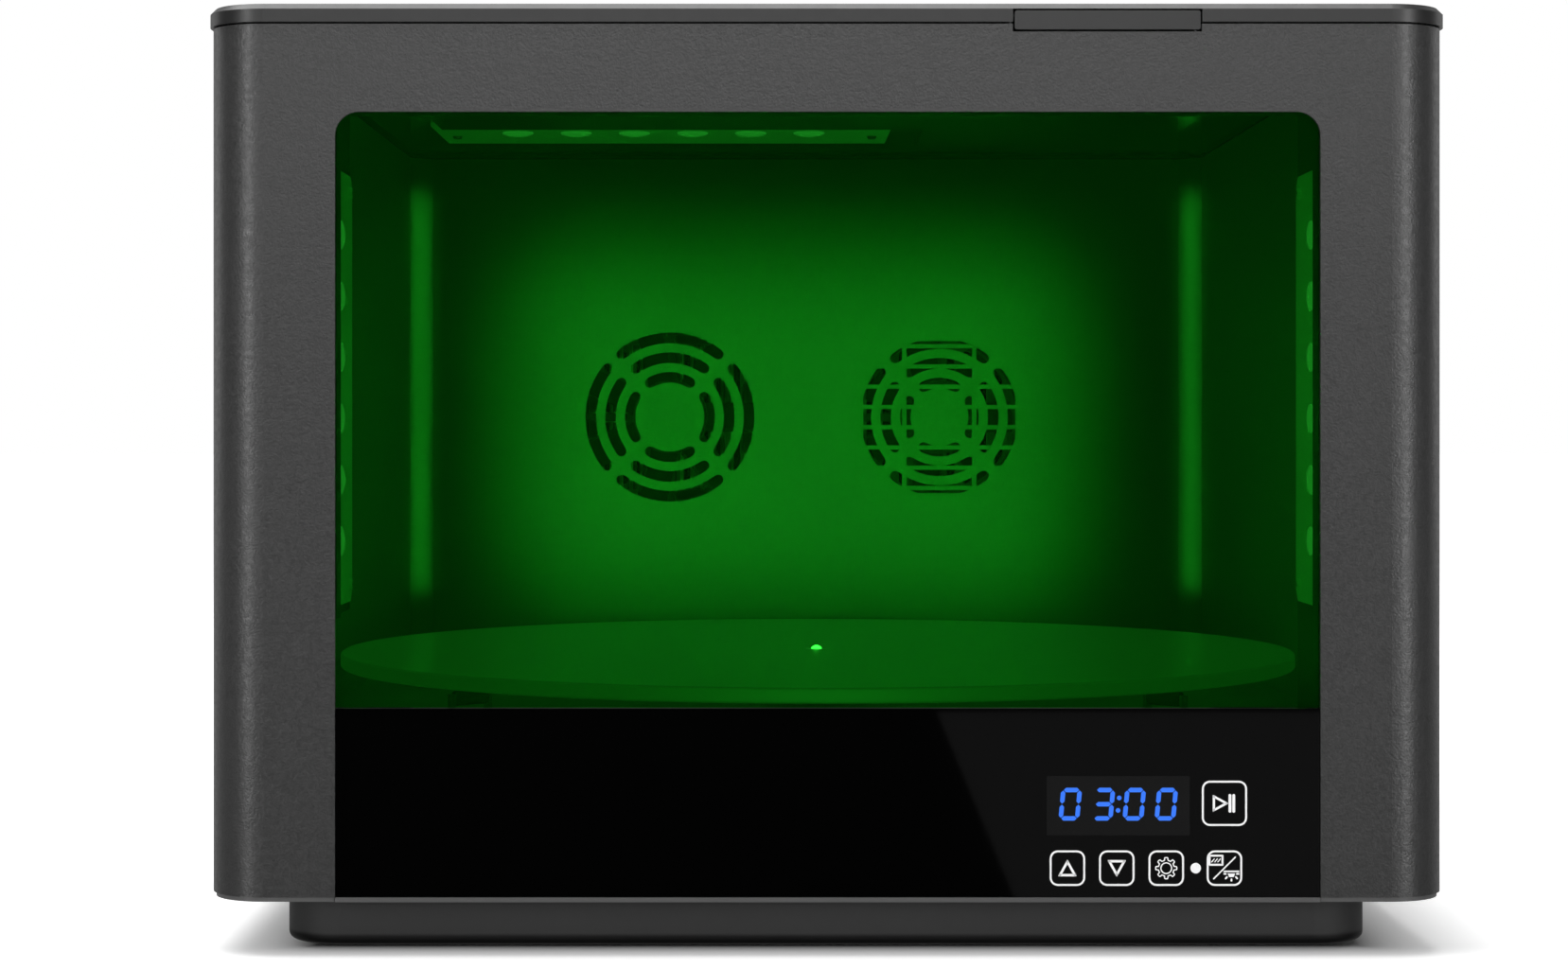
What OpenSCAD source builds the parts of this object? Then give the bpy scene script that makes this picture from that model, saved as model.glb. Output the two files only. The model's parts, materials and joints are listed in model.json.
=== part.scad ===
// Dental lab light curing unit: a bench box with a rear hinged lid, a tinted front window,
// a touch panel under it, lamp boards on three sides, two fans and a driven turntable.
// The unit stands on Z = 0, with +X to its right, +Y to its rear, and its centre over the origin.

/* [Body] */
// Width of the outer shell
body_w = 417.5; // [400:0.5:440]
// Depth of the outer shell, from its front face to its rear face
body_d = 505; // [498:1:540]
// Height of the whole unit on its feet
unit_h = 319.3; // [312:0.1:345]
// Thickness of the painted steel sheet
sheet_t = 1.5; // [1.2:0.1:1.8]
// Radius of the shell's upright corners
corner_r = 20; // [15:0.5:24]
// Distance of the rear opening from the shell's sides
rear_open_side = 38.75; // [35:0.25:55]
// Margin above and below the rear opening
rear_open_margin = 20; // [15:1:40]
// Lap of the rear panel over its opening
rear_lap = 10; // [8:0.5:12]

/* [Base] */
// Height of rubber foot that shows under the base
foot_show = 2.5; // [2:0.1:4]
// Diameter of a rubber foot
foot_dia = 18.7; // [14:0.1:24]
// Distance of the feet from the base's sides
foot_inset = 33; // [20:1:60]
// Height of the base pan
base_h = 16.05; // [12:0.05:24]
// Distance of the base's sides from the shell's sides
base_side_inset = 24.25; // [15:0.25:40]
// Distance of the base's front and rear from the shell's
base_end_inset = 10; // [5:1:11]
// Radius of the base's upright corners
base_corner_r = 20; // [10:1:30]
// Radius of the base's lower edge
base_edge_r = 2.5; // [1.5:0.5:4]
// Wall of the base pan
base_wall = 2; // [1.5:0.1:3]
// Thickness of the bottom plate, which shows as a lip
lip_t = 1.6; // [1.2:0.1:2.4]
// Distance of the lip behind the shell's faces
lip_inset = 1; // [0.6:0.1:1.4]
// Depth of the trim strip under the glass
trim_depth = 12; // [11.5:0.5:20]

/* [Lid] */
// Height of the lid's rim and chamfer
lid_h = 6.25; // [6:0.05:10]
// Overhang of the lid past the shell
lid_overhang = 1.05; // [0.8:0.05:1.4]
// Chamfer along the lid's upper edge
lid_chamfer = 1.87; // [1.5:0.01:2]
// Seam between the lid's rim and the shell
lid_seam = 0.55; // [0.5:0.05:1]
// Distance of the chamber's ceiling below the lid's rim
ceiling_drop = 3.15; // [3:0.05:4]
// Distance of the lid's liner from the shell's inner faces
liner_margin = 4.5; // [4:0.5:6]
// Width of the pull tab
tab_w = 62.1; // [40:0.1:90]
// Height of the pull tab
tab_h = 6.35; // [6:0.05:7]
// Distance of the tab's middle from the unit's middle
tab_x = 93.55; // [60:0.05:120]
// Distance that the tab reaches below the lid's rim
tab_drop = 2.55; // [2:0.05:3]
// Gap round the tab
tab_gap = 0.6; // [0.4:0.1:0.8]

/* [Ceiling cover] */
// Distance of the dark cover from the chamber's walls
cover_side = 32.5; // [28:0.5:42]
// Distance of the cover's front edge behind the front face
cover_front = 40; // [30:1:60]
// Distance of the cover's left part's rear edge behind the front face
cover_left_end = 286; // [240:1:300]
// Distance of the cover's right part's rear edge behind the front face
cover_right_end = 357; // [320:1:400]
// Place of the step between the two parts, right of the middle
cover_step_x = 47.7; // [40:0.1:80]
// Height of the cover
cover_h = 4.9; // [4:0.1:6]

/* [Front] */
// Width of the shell beside the window opening
win_side = 43.85; // [38:0.05:50]
// Height of shell above the window opening
win_top_margin = 29.4; // [24:0.1:45]
// Radius of the opening's upper corners
win_corner_r = 8; // [4:0.5:12]
// Thickness of the window pane and of the control glass
pane_t = 3; // [2.5:0.1:3.5]
// Lap of the window pane behind the shell
pane_lap = 8; // [6:0.5:9]
// Height of the control glass
glass_h = 62.95; // [60:0.05:66]
// Gap round the control glass
glass_gap = 0.25; // [0.2:0.05:0.5]
// Distance of the control glass behind the shell's face
glass_recess = 0.2; // [0.1:0.05:0.5]
// Lap of the glass carrier behind the shell
carrier_lap = 10; // [8:0.5:12]
// Depth of the front rails, measured from the pane
rail_depth = 11; // [9:0.5:14]
// Distance of the front rail's top below the control glass's top
rail_drop = 1.5; // [1:0.1:4]

/* [Chamber] */
// Distance of the chamber's walls from the shell's sides
side_bay = 17.75; // [16.5:0.25:21]
// Depth of the fan bay, from the chamber's rear wall to the shell's rear face
rear_bay = 43; // [42:0.5:55]
// Width of the angled facets in the rear corners
facet = 10; // [6:0.5:14]
// Thickness of the bright liner sheet
liner_t = 1.2; // [1:0.1:1.5]
// Height of the chamber floor above the bottom plate
floor_rise = 48.85; // [44:0.05:52]
// Distance of the lamp posts' rear edge behind the front face
post_end = 75; // [70:1:80]
// Distance of the lamp posts' bend behind the front face
post_bend = 62; // [58:1:66]
// Step from the front frame's side to the lamp posts' face
post_step = 3.2; // [2.5:0.1:4]
// Height of the left post's foot above the chamber floor
left_post_rise = 44; // [38:0.5:46]
// Width of the light seal
seal_w = 10; // [8:0.5:10]
// Height of the light seal
seal_h = 1.7; // [1.4:0.1:2]
// Running gap between the light seal and the lid
seal_gap = 0.3; // [0.2:0.1:0.5]

/* [Turntable] */
// Gap between the disc and the chamber's walls
disc_side_gap = 3; // [2.5:0.5:15]
// Thickness of the disc
disc_t = 5.4; // [4:0.1:8]
// Height of the disc's underside above the chamber floor
disc_rise = 15.2; // [14.5:0.1:20]
// Distance of the disc's front edge behind the front face
disc_front = 8.5; // [8:0.5:14]
// Diameter of the disc's centre hole
disc_hole_dia = 8.7; // [7:0.1:12]
// Diameter of the hub under the disc
hub_dia = 40; // [30:1:60]
// Height of the hub
hub_h = 8; // [6:0.5:9]
// Diameter of the drive shaft
shaft_dia = 6; // [5:0.1:7]
// Diameter of the shaft's upper pin
pin_dia = 4.2; // [3:0.1:4.6]
// Height of the pin's domed end above the disc's face
pin_above = 1.2; // [0.5:0.1:2]
// Diameter of the motor
motor_dia = 49; // [40:1:56]
// Height of the motor
motor_h = 18; // [14:1:22]
// Diameter of a support roller
roller_dia = 5.4; // [5:0.1:6]
// Length of a support roller
roller_l = 15; // [12:0.5:16]
// Distance of the rollers' middles from the disc's edge
roller_in = 9; // [8.5:0.5:30]
// Angle of the right rollers from the unit's width
roller_right_angle = 47.2; // [40:0.1:60]
// Angle of the left rollers from the unit's width
roller_left_angle = 45.2; // [40:0.1:60]
// Running gap between the disc and the rollers
roller_gap = 0.3; // [0.3:0.05:0.5]
// Diameter of a roller's axle
axle_dia = 2; // [1.6:0.1:2.4]

/* [Lamps] */
// Number of lamps on each board
lamp_count = 6; // [4:1:6]
// Thickness of a lamp board
board_t = 1.6; // [1:0.1:2]
// Height of a side lamp board
side_board_h = 149; // [146:1:170]
// Depth of a side lamp board
side_board_d = 35; // [33:1:38]
// Corner cut of a side lamp board
side_board_cut = 4; // [2:0.5:6]
// Height of the side boards' middle above the chamber floor
side_board_rise = 122; // [110:1:125]
// Distance of the side boards' front edge behind the posts' step
side_board_in = 6; // [4:0.1:7]
// Distance between the side lamps
side_lamp_pitch = 21; // [16:0.5:22]
// Distance of the side lamps behind their board's front edge
side_lamp_in = 5.6; // [5.6:0.1:12]
// Distance of the side boards' screws behind their front edge
side_screw_in = 27; // [20:0.5:29]
// Distance of the side boards' screws from their ends
side_screw_end = 6; // [5:0.5:10]
// Diameter of a side lamp's lens
side_lens_dia = 9.8; // [7:0.1:11]
// Height of a side lamp's lens
side_lens_h = 1.5; // [1:0.1:2.5]
// Width of the top lamp board
top_board_w = 200.2; // [196:0.1:205]
// Depth of the top lamp board
top_board_d = 80; // [60:0.5:95]
// Distance of the top board's front edge behind the front face
top_board_front = 303; // [302:1:330]
// Distance of the top lamps behind the board's front edge
top_lamp_in = 29; // [20:0.5:35]
// Distance of the top board's screws behind its front edge
top_screw_in = 46; // [40:0.5:55]
// Distance of the top board's screws from its ends
top_screw_end = 7.2; // [5:0.1:10]
// Distance of the top board's middle from the unit's middle, to the left
top_board_x = 65.1; // [65:0.1:75]
// Distance between the top lamps
top_lamp_pitch = 25.8; // [20:0.1:28]
// Diameter of a top lamp's lens
top_lens_dia = 13.5; // [9:0.1:15]
// Height of a top lamp's lens
top_lens_h = 2; // [1.5:0.1:4]

/* [Fans] */
// Height of the fans' axes above the chamber floor
fan_rise = 113.8; // [100:0.1:120]
// Distance of the left fan's axis from the middle
fan_left_x = 66; // [56:0.5:75]
// Distance of the right fan's axis from the middle
fan_right_x = 65; // [56:0.5:75]
// Side of the left fan
fan_left_size = 92; // [90:1:96]
// Side of the right fan
fan_right_size = 80; // [80:1:92]
// Depth of a fan
fan_depth = 25; // [20:1:25]
// Diameter of a fan's rotor hub
fan_hub_dia = 36; // [32:1:40]
// Number of blades on a rotor
blade_count = 7; // [5:1:9]
// Outer radius of the left grille
grille_left_r = 41.1; // [38:0.1:42]
// Outer radius of the right grille
grille_right_r = 38.4; // [34:0.1:39]
// Width of a grille slot
slot_w = 5.2; // [4:0.1:6]
// Distance from one ring of slots to the next
slot_pitch = 9.6; // [8.5:0.1:10.5]
// Width of the spokes between the slots
spoke_w = 4.6; // [3:0.1:6]
// Thickness of a guard bar
guard_bar = 2; // [1.2:0.1:2.4]
// Distance between the guard bars
guard_pitch = 9.85; // [7:0.05:12]
// Depth of the heater
heater_d = 10; // [8:0.5:12]

/* [Controls] */
// Distance of the display's middle from the glass's right side
display_side = 67.7; // [64:0.1:75]
// Height of the display's middle above the bottom plate
display_z = 30.75; // [28:0.05:34]
// Width of the display
display_w = 47.8; // [40:0.1:50]
// Height of the display
display_h = 19.8; // [16:0.1:21]
// Distance of the start key's middle from the glass's right side
start_key_side = 32.15; // [25:0.05:36]
// Height of the start key's middle above the bottom plate
start_key_z = 31.5; // [28:0.1:34]
// Height of the lower keys' middles above the bottom plate
low_key_z = 9.85; // [8:0.05:12]
// Distance of the first lower key's middle from the glass's right side
low_key_side = 84.7; // [80:0.1:90]
// Distance between the first three lower keys
low_key_pitch = 16.5; // [14:0.1:18]
// Diameter of a touch sensor
sensor_dia = 10; // [6:0.5:12]
// Distance of the status lamp's middle from the glass's right side
status_side = 41.8; // [41:0.1:42.4]
// Diameter of the status lamp
status_dia = 3.8; // [3:0.1:4.5]

/* [Power] */
// Width of the power supply
supply_w = 110; // [90:1:120]
// Depth of the power supply
supply_d = 110; // [90:1:120]
// Height of the power supply
supply_h = 38; // [30:1:40]
// Distance of the inlet's middle from the shell's left side
inlet_side = 90.75; // [75:0.25:100]
// Height of the inlet's and switch's middles above the bottom plate
inlet_z = 38; // [36:1:44]
// Distance from the inlet's middle to the switch's middle
switch_step = 46; // [40:1:58]
// Swing of the rocker from off to on
rocker_swing = 16; // [10:1:16]

/* [Hinges] */
// Distance of each hinge's middle from the shell's side
hinge_side = 88.75; // [60:0.25:120]
// Length of one knuckle
knuckle_l = 12; // [8:1:16]
// Outer diameter of a knuckle
knuckle_dia = 6; // [5:0.2:6.4]
// Diameter of the hinge pin
hinge_pin_dia = 3; // [2.4:0.1:3.2]
// Height of the hinge leaf on the shell
leaf_h = 22; // [18:1:30]
// Clearance between the lid and the knuckles
hinge_clear = 0.4; // [0.35:0.05:0.8]

/* [Hidden] */
$fn = 64;

// Colours
shell_paint = "#4a4a4a";
base_paint = "#2e2e2e";
lip_paint = "#5a5a5a";
window_tint = "#0c8a1c";
glass_black = "#080808";
liner_bright = "#b9c4bd";
cover_dark = "#26302a";
board_white = "#e6ece6";
lens_clear = "#dfeaf4";
rubber_black = "#161616";
plastic_black = "#1c1c1c";
steel_plain = "#9aa0a4";
brass_plain = "#b79b4c";
board_green = "#1d6b3a";
disc_gloss = "#3a423d";

// Shared clearances
cut = 1;
fit_gap = 0.2;
shaft_clear = 0.05;
turn_gap = 0.3;
screw_hole_clear = 0.2;
weld_depth = 0.6;

// Levels
plate_z = foot_show + base_h;
deck_z = plate_z + lip_t;
lid_z = unit_h - lid_h;
shell_top = lid_z - lid_seam;
shell_h = shell_top - deck_z;
ceiling_z = lid_z - ceiling_drop;
liner_top = ceiling_z - seal_gap - seal_h;
floor_z = deck_z + floor_rise;
rail_z0 = floor_z - liner_t;
disc_z = floor_z + disc_rise;
disc_top = disc_z + disc_t;
glass_z = deck_z + glass_recess;
glass_top = glass_z + glass_h;
rail_top = glass_top - rail_drop;
win_top = shell_top - win_top_margin;
lid_inner_z = unit_h - sheet_t;

// Places along the depth
leaf_t = lid_overhang + hinge_clear;
hinge_out = leaf_t + knuckle_dia / 2;
hinge_reach = hinge_out + knuckle_dia / 2;
whole_d = lid_overhang + body_d + hinge_reach;
front_y = lid_overhang - whole_d / 2;
rear_y = front_y + body_d;
mid_y = front_y + body_d / 2;
pane_y = front_y + sheet_t;
frame_y = pane_y + pane_t;
rail_end_y = frame_y + rail_depth;
post_bend_y = front_y + post_bend;
post_end_y = front_y + post_end;
back_y = rear_y - rear_bay;
back_rear_y = back_y + liner_t;
disc_r = body_w / 2 - side_bay - disc_side_gap;
disc_y = front_y + disc_front + disc_r;
shell_in_y = rear_y - sheet_t;
panel_y = shell_in_y - sheet_t;

// Half widths
shell_in_x = body_w / 2 - sheet_t;
win_x = body_w / 2 - win_side;
win_w = 2 * win_x;
post_face_x = win_x + post_step;
wall_x = body_w / 2 - side_bay;
wall_out_x = wall_x + liner_t;
flange_x = shell_in_x - cut;
facet_shift = liner_t * tan(22.5);

// Rounded rectangle about the origin, in the plane of the floor
module rounded_rect(w, d, r) {
  square([w - 2 * r, d], center = true);
  square([w, d - 2 * r], center = true);
  for (sx = [-1, 1], sy = [-1, 1])
    translate([sx * (w / 2 - r), sy * (d / 2 - r)]) circle(r);
}

// Upright slab: draws its child in X and Z, from y0 to the rear
module upright(y0, depth) {
  translate([0, y0 + depth, 0]) rotate([90, 0, 0]) linear_extrude(depth) children();
}

// Sideways slab: draws its child in Y and Z, from x0 to the right
module sideways(x0, width) {
  translate([x0, 0, 0]) rotate([90, 0, 90]) linear_extrude(width) children();
}

// Round bar along Y
module bar_y(x, y0, z, r, l) {
  translate([x, y0 + l, z]) rotate([90, 0, 0]) cylinder(r = r, h = l);
}

// Round bar along X
module bar_x(x0, y, z, r, l) {
  translate([x0, y, z]) rotate([0, 90, 0]) cylinder(r = r, h = l);
}

// Rectangle in X and Z by its centre
module plate_2d(x, z, w, h) {
  translate([x, z]) square([w, h], center = true);
}

// Doorway outline with rounded upper corners
module doorway(w, z0, z1, r) {
  translate([-w / 2, z0]) square([w, z1 - z0 - r]);
  translate([-w / 2 + r, z0]) square([w - 2 * r, z1 - z0]);
  for (s = [-1, 1]) translate([s * (w / 2 - r), z1 - r]) circle(r);
}

// Screw places on the rear panel
rear_screw_in = rear_lap / 2;
rear_open_w = body_w - 2 * rear_open_side;
rear_open_z0 = deck_z + rear_open_margin;
rear_open_z1 = shell_top - rear_open_margin;
rear_screw_x = rear_open_w / 2 + rear_screw_in;
rear_screw_zs = [rear_open_z0 - rear_screw_in, (rear_open_z0 + rear_open_z1) / 2,
                 rear_open_z1 + rear_screw_in];
rear_screw_places = concat(
  [for (s = [-1, 1], z = rear_screw_zs) [s * rear_screw_x, z]],
  [for (z = [rear_screw_zs[0], rear_screw_zs[2]]) [0, z]]);
screw_r = 1.5;
screw_head_r = 2.9;
screw_head_h = 1.9;

module rear_screw_holes(y0, depth) {
  for (p = rear_screw_places) bar_y(p[0], y0, p[1], screw_r + screw_hole_clear, depth);
}

// Hinge places
hinge_x = body_w / 2 - hinge_side;
hinge_y = rear_y + hinge_out;
hinge_drop = 0.7;
hinge_z = shell_top - hinge_drop;
leaf_top = hinge_z - knuckle_dia / 2 - turn_gap;
knuckle_count = 5;
leaf_w = knuckle_count * knuckle_l;
leaf_screw_end = 10.8;
leaf_screw_xs = [-leaf_w / 2 + leaf_screw_end, 0, leaf_w / 2 - leaf_screw_end];
leaf_screw_z = leaf_top - leaf_h / 2;

module hinge_screw_holes(y0, depth) {
  for (s = [-1, 1], dx = leaf_screw_xs)
    bar_y(s * hinge_x + dx, y0, leaf_screw_z, screw_r + screw_hole_clear, depth);
}

// Outer shell: one folded wrap with a front doorway and a rear opening
module outer_shell() color(shell_paint) difference() {
  translate([0, mid_y, deck_z]) linear_extrude(shell_h) rounded_rect(body_w, body_d, corner_r);
  translate([0, mid_y, deck_z - cut]) linear_extrude(shell_h + 2 * cut)
    rounded_rect(body_w - 2 * sheet_t, body_d - 2 * sheet_t, corner_r - sheet_t);
  upright(front_y - cut, sheet_t + 2 * cut) doorway(win_w, deck_z - cut, win_top, win_corner_r);
  upright(shell_in_y - cut, sheet_t + 2 * cut)
    plate_2d(0, (rear_open_z0 + rear_open_z1) / 2, rear_open_w, rear_open_z1 - rear_open_z0);
  upright(front_y - cut, sheet_t + 2 * cut)
    translate([tab_x - tab_w / 2 - tab_gap, tab_z - tab_gap]) square([tab_w + 2 * tab_gap, tab_h + cut]);
  rear_screw_holes(shell_in_y - cut, sheet_t + 2 * cut);
  hinge_screw_holes(shell_in_y - cut, sheet_t + 2 * cut);
}

// Air slots: a row of upright slots with round ends
module slot_row(x, z, count, pitch, w, h) {
  for (i = [0 : count - 1]) translate([x + (i - (count - 1) / 2) * pitch, z]) {
    square([w, h - w], center = true);
    for (s = [-1, 1]) translate([0, s * (h - w) / 2]) circle(w / 2);
  }
}

// Exhaust and intake slots in the rear panel
vent_w = 4;
vent_pitch = 8;
exhaust_h = 66;
exhaust_count = 9;
intake_h = 26;
intake_count = 12;
intake_x = 70;

// Rear panel: screwed behind the rear opening
panel_w = rear_open_w + 2 * rear_lap;
panel_z0 = rear_open_z0 - rear_lap;
panel_z1 = rear_open_z1 + rear_lap;
inlet_mid_z = deck_z + inlet_z;
inlet_x = body_w / 2 - inlet_side;
switch_x = inlet_x - switch_step;
module rear_panel() color(shell_paint) difference() {
  upright(panel_y, sheet_t) plate_2d(0, (panel_z0 + panel_z1) / 2, panel_w, panel_z1 - panel_z0);
  upright(panel_y - cut, sheet_t + 2 * cut) {
    slot_row(fan_right_x, fan_z, exhaust_count, vent_pitch, vent_w, exhaust_h);
    slot_row(-fan_left_x, fan_z, exhaust_count, vent_pitch, vent_w, exhaust_h);
    slot_row(intake_x, inlet_mid_z, intake_count, vent_pitch, vent_w, intake_h);
    plate_2d(-inlet_x, inlet_mid_z, inlet_body_w + 2 * fit_gap, inlet_body_h + 2 * fit_gap);
    plate_2d(-switch_x, inlet_mid_z, switch_w + 2 * fit_gap, switch_h + 2 * fit_gap);
  }
  rear_screw_holes(panel_y - cut, sheet_t + 2 * cut);
  for (x = inlet_screw_xs)
    bar_y(x, panel_y - cut, inlet_mid_z, screw_r + screw_hole_clear, sheet_t + 2 * cut);
}

// Bottom plate: its edge shows as the lip round the shell's foot
plate_w = body_w - 2 * lip_inset;
plate_d = body_d - 2 * lip_inset;
module bottom_plate() color(lip_paint) difference() {
  translate([0, mid_y, plate_z]) linear_extrude(lip_t)
    rounded_rect(plate_w, plate_d, corner_r - lip_inset);
  translate([-win_x - turn_gap, front_y, plate_z - cut])
    cube([win_w + 2 * turn_gap, trim_depth, lip_t + 2 * cut]);
  translate([0, mid_y, plate_z - cut]) linear_extrude(lip_t + 2 * cut)
    slot_row(0, 0, intake_count, vent_pitch, vent_w, intake_h);
}

// Trim strip under the control glass
module front_lip_trim() color("#6c6c6c")
  translate([-win_x, front_y + glass_recess, plate_z])
    cube([win_w, trim_depth - glass_recess, lip_t]);

// Base pan: a tray with a rounded lower edge
base_w = body_w - 2 * base_side_inset;
base_d = body_d - 2 * base_end_inset;
module edge_rounded_slab(w, d, h, r, e) {
  translate([0, 0, e]) linear_extrude(h - e) rounded_rect(w, d, r);
  linear_extrude(e) rounded_rect(w - 2 * e, d - 2 * e, r - e);
  for (s = [-1, 1]) {
    translate([-(w / 2 - r), s * (d / 2 - e), e]) rotate([0, 90, 0]) cylinder(r = e, h = w - 2 * r);
    translate([s * (w / 2 - e), d / 2 - r, e]) rotate([90, 0, 0]) cylinder(r = e, h = d - 2 * r);
  }
  for (sx = [-1, 1], sy = [-1, 1]) translate([sx * (w / 2 - r), sy * (d / 2 - r), e])
    rotate_extrude() translate([r - e, 0]) circle(e, $fn = 32);
}

foot_x = base_w / 2 - foot_inset;
foot_y = base_d / 2 - foot_inset;
foot_stem_r = 3;
module base_pan() color(base_paint) difference() {
  translate([0, mid_y, foot_show])
    edge_rounded_slab(base_w, base_d, base_h, base_corner_r, base_edge_r);
  translate([0, mid_y, foot_show + base_wall]) linear_extrude(base_h)
    rounded_rect(base_w - 2 * base_wall, base_d - 2 * base_wall, base_corner_r - base_wall);
  for (sx = [-1, 1], sy = [-1, 1]) translate([sx * foot_x, mid_y + sy * foot_y, 0])
    cylinder(r = foot_stem_r + shaft_clear, h = plate_z);
}

// Rubber feet: pressed through the base pan
foot_edge = 0.6;
foot_head_r = 4.6;
foot_head_h = 1.6;
module rubber_foot() {
  cylinder(r1 = foot_dia / 2 - foot_edge, r2 = foot_dia / 2, h = foot_edge);
  translate([0, 0, foot_edge]) cylinder(d = foot_dia, h = foot_show - foot_edge);
  cylinder(r = foot_stem_r, h = foot_show + base_wall + foot_head_h);
  translate([0, 0, foot_show + base_wall])
    cylinder(r1 = foot_head_r, r2 = foot_stem_r, h = foot_head_h);
}
module rubber_feet() color(rubber_black)
  for (sx = [-1, 1], sy = [-1, 1]) translate([sx * foot_x, mid_y + sy * foot_y, 0]) rubber_foot();

// Window pane: sits behind the shell's front, over the doorway
pane_z0 = glass_top + fit_gap;
pane_top = win_top + pane_lap;
module front_window() color(window_tint, 0.6)
  upright(pane_y, pane_t)
    translate([-win_x - pane_lap, pane_z0]) square([win_w + 2 * pane_lap, pane_top - pane_z0]);

// Control glass: flush in the doorway
module control_glass() color(glass_black)
  upright(front_y + glass_recess, pane_t)
    translate([-win_x + glass_gap, glass_z]) square([win_w - 2 * glass_gap, glass_h]);

// Key places
display_x = win_x - display_side;
start_key_x = win_x - start_key_side;
low_key_x = win_x - low_key_side;
status_x = win_x - status_side;
display_mid_z = deck_z + display_z;
key_low_z = deck_z + low_key_z;
key_places = [
  [start_key_x, deck_z + start_key_z],
  [low_key_x, key_low_z],
  [low_key_x + low_key_pitch, key_low_z],
  [low_key_x + 2 * low_key_pitch, key_low_z],
  [start_key_x, key_low_z]
];
glass_rear_y = front_y + glass_recess + pane_t;
key_depth = 4.8;
control_y = glass_rear_y + key_depth;
control_side = 12.9;
control_w = 90;
control_rise = 3.85;
control_x = win_x - control_side;
control_z0 = deck_z + control_rise;
control_z1 = rail_z0 - turn_gap;
boss_r = 2.5;
boss_in = 4;
boss_places = [for (x = [control_x - control_w + boss_in, control_x - boss_in],
  z = [control_z0 + boss_in, control_z1 - boss_in]) [x, z]];
boss_y = glass_rear_y + weld_depth;

// Glass carrier: a tray that holds the control glass and the board behind it
carrier_x = win_x + carrier_lap;
carrier_z0 = deck_z + fit_gap;
module glass_carrier() color(plastic_black) {
  difference() {
    upright(pane_y, pane_t)
      translate([-carrier_x, carrier_z0]) square([2 * carrier_x, glass_top - carrier_z0 - fit_gap]);
    upright(pane_y - cut, glass_rear_y - pane_y + cut)
      translate([-win_x, carrier_z0 - cut]) square([win_w, glass_h + 2 * cut]);
    upright(pane_y, pane_t + cut)
      plate_2d(display_x, display_mid_z, display_w, display_h);
    for (p = key_places) bar_y(p[0], pane_y, p[1], sensor_dia / 2 + turn_gap, pane_t + cut);
    bar_y(status_x, pane_y, key_low_z, status_dia / 2 + turn_gap, pane_t + cut);
  }
  for (p = boss_places) bar_y(p[0], boss_y, p[1], boss_r, control_y - boss_y);
}

// Control board behind the glass
module control_board() color(board_green)
  upright(control_y, board_t)
    translate([control_x - control_w, control_z0]) square([control_w, control_z1 - control_z0]);

// Display block on the board
module display_module() color("#202020")
  upright(glass_rear_y + fit_gap, control_y - glass_rear_y - fit_gap)
    plate_2d(display_x, display_mid_z, display_w - 2 * turn_gap, display_h - 2 * turn_gap);

// Touch sensors between the board and the glass
module touch_sensors() color(brass_plain)
  for (p = key_places) bar_y(p[0], glass_rear_y, p[1], sensor_dia / 2, control_y - glass_rear_y);

// Status lamp behind the glass
module status_lamp() color("#ffffff")
  bar_y(status_x, glass_rear_y, key_low_z, status_dia / 2, control_y - glass_rear_y);

// Front rail under the window and header rail above it
rail_wall = 1.5;
module rail(z0, z1) difference() {
  translate([-win_x, frame_y, z0]) cube([win_w, rail_depth, z1 - z0]);
  translate([-win_x - cut, frame_y + rail_wall, z0 + rail_wall])
    cube([win_w + 2 * cut, rail_depth - 2 * rail_wall, z1 - z0 - 2 * rail_wall]);
}
module front_rail() color(cover_dark) rail(rail_z0, rail_top);
module header_rail() color(cover_dark) rail(win_top, liner_top);

// Lamp posts: folded columns beside the window that carry the side lamp boards
pocket_x = post_face_x + liner_t;
module post_outline() polygon([
  [win_x, frame_y], [win_x, rail_end_y], [post_face_x, rail_end_y], [post_face_x, post_bend_y],
  [wall_x, post_end_y], [wall_out_x, post_end_y], [wall_out_x, frame_y]]);
module post_pocket() polygon([
  [pocket_x, frame_y + liner_t], [pocket_x, post_bend_y - liner_t / 2],
  [wall_x, post_end_y - liner_t], [wall_out_x + cut, post_end_y - liner_t],
  [wall_out_x + cut, frame_y + liner_t]]);
flange_front_y = front_y + corner_r + sheet_t;
left_post_z = floor_z + left_post_rise;
module front_post(side, foot_z) color(cover_dark) mirror([side < 0 ? 1 : 0, 0, 0]) {
  difference() {
    translate([0, 0, foot_z]) linear_extrude(liner_top - foot_z) post_outline();
    translate([0, 0, foot_z + liner_t])
      linear_extrude(liner_top - foot_z - 2 * liner_t) post_pocket();
  }
  translate([wall_out_x - weld_depth, flange_front_y, liner_top - liner_t])
    cube([flange_x - wall_out_x + weld_depth, post_end_y - flange_front_y, liner_t]);
}
module front_post_left() front_post(-1, left_post_z);
module front_post_right() front_post(1, deck_z);

// Chamber liner: bright walls with two round grilles and a flange for the seal
module chamber_inside(y0) polygon([
  [-wall_x, y0], [-wall_x, back_y - facet], [-wall_x + facet, back_y],
  [wall_x - facet, back_y], [wall_x, back_y - facet], [wall_x, y0]]);
module chamber_outside() polygon([
  [-wall_out_x, post_end_y], [-wall_out_x, back_y - facet + facet_shift],
  [-wall_x + facet - facet_shift, back_rear_y], [wall_x - facet + facet_shift, back_rear_y],
  [wall_out_x, back_y - facet + facet_shift], [wall_out_x, post_end_y]]);

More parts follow.
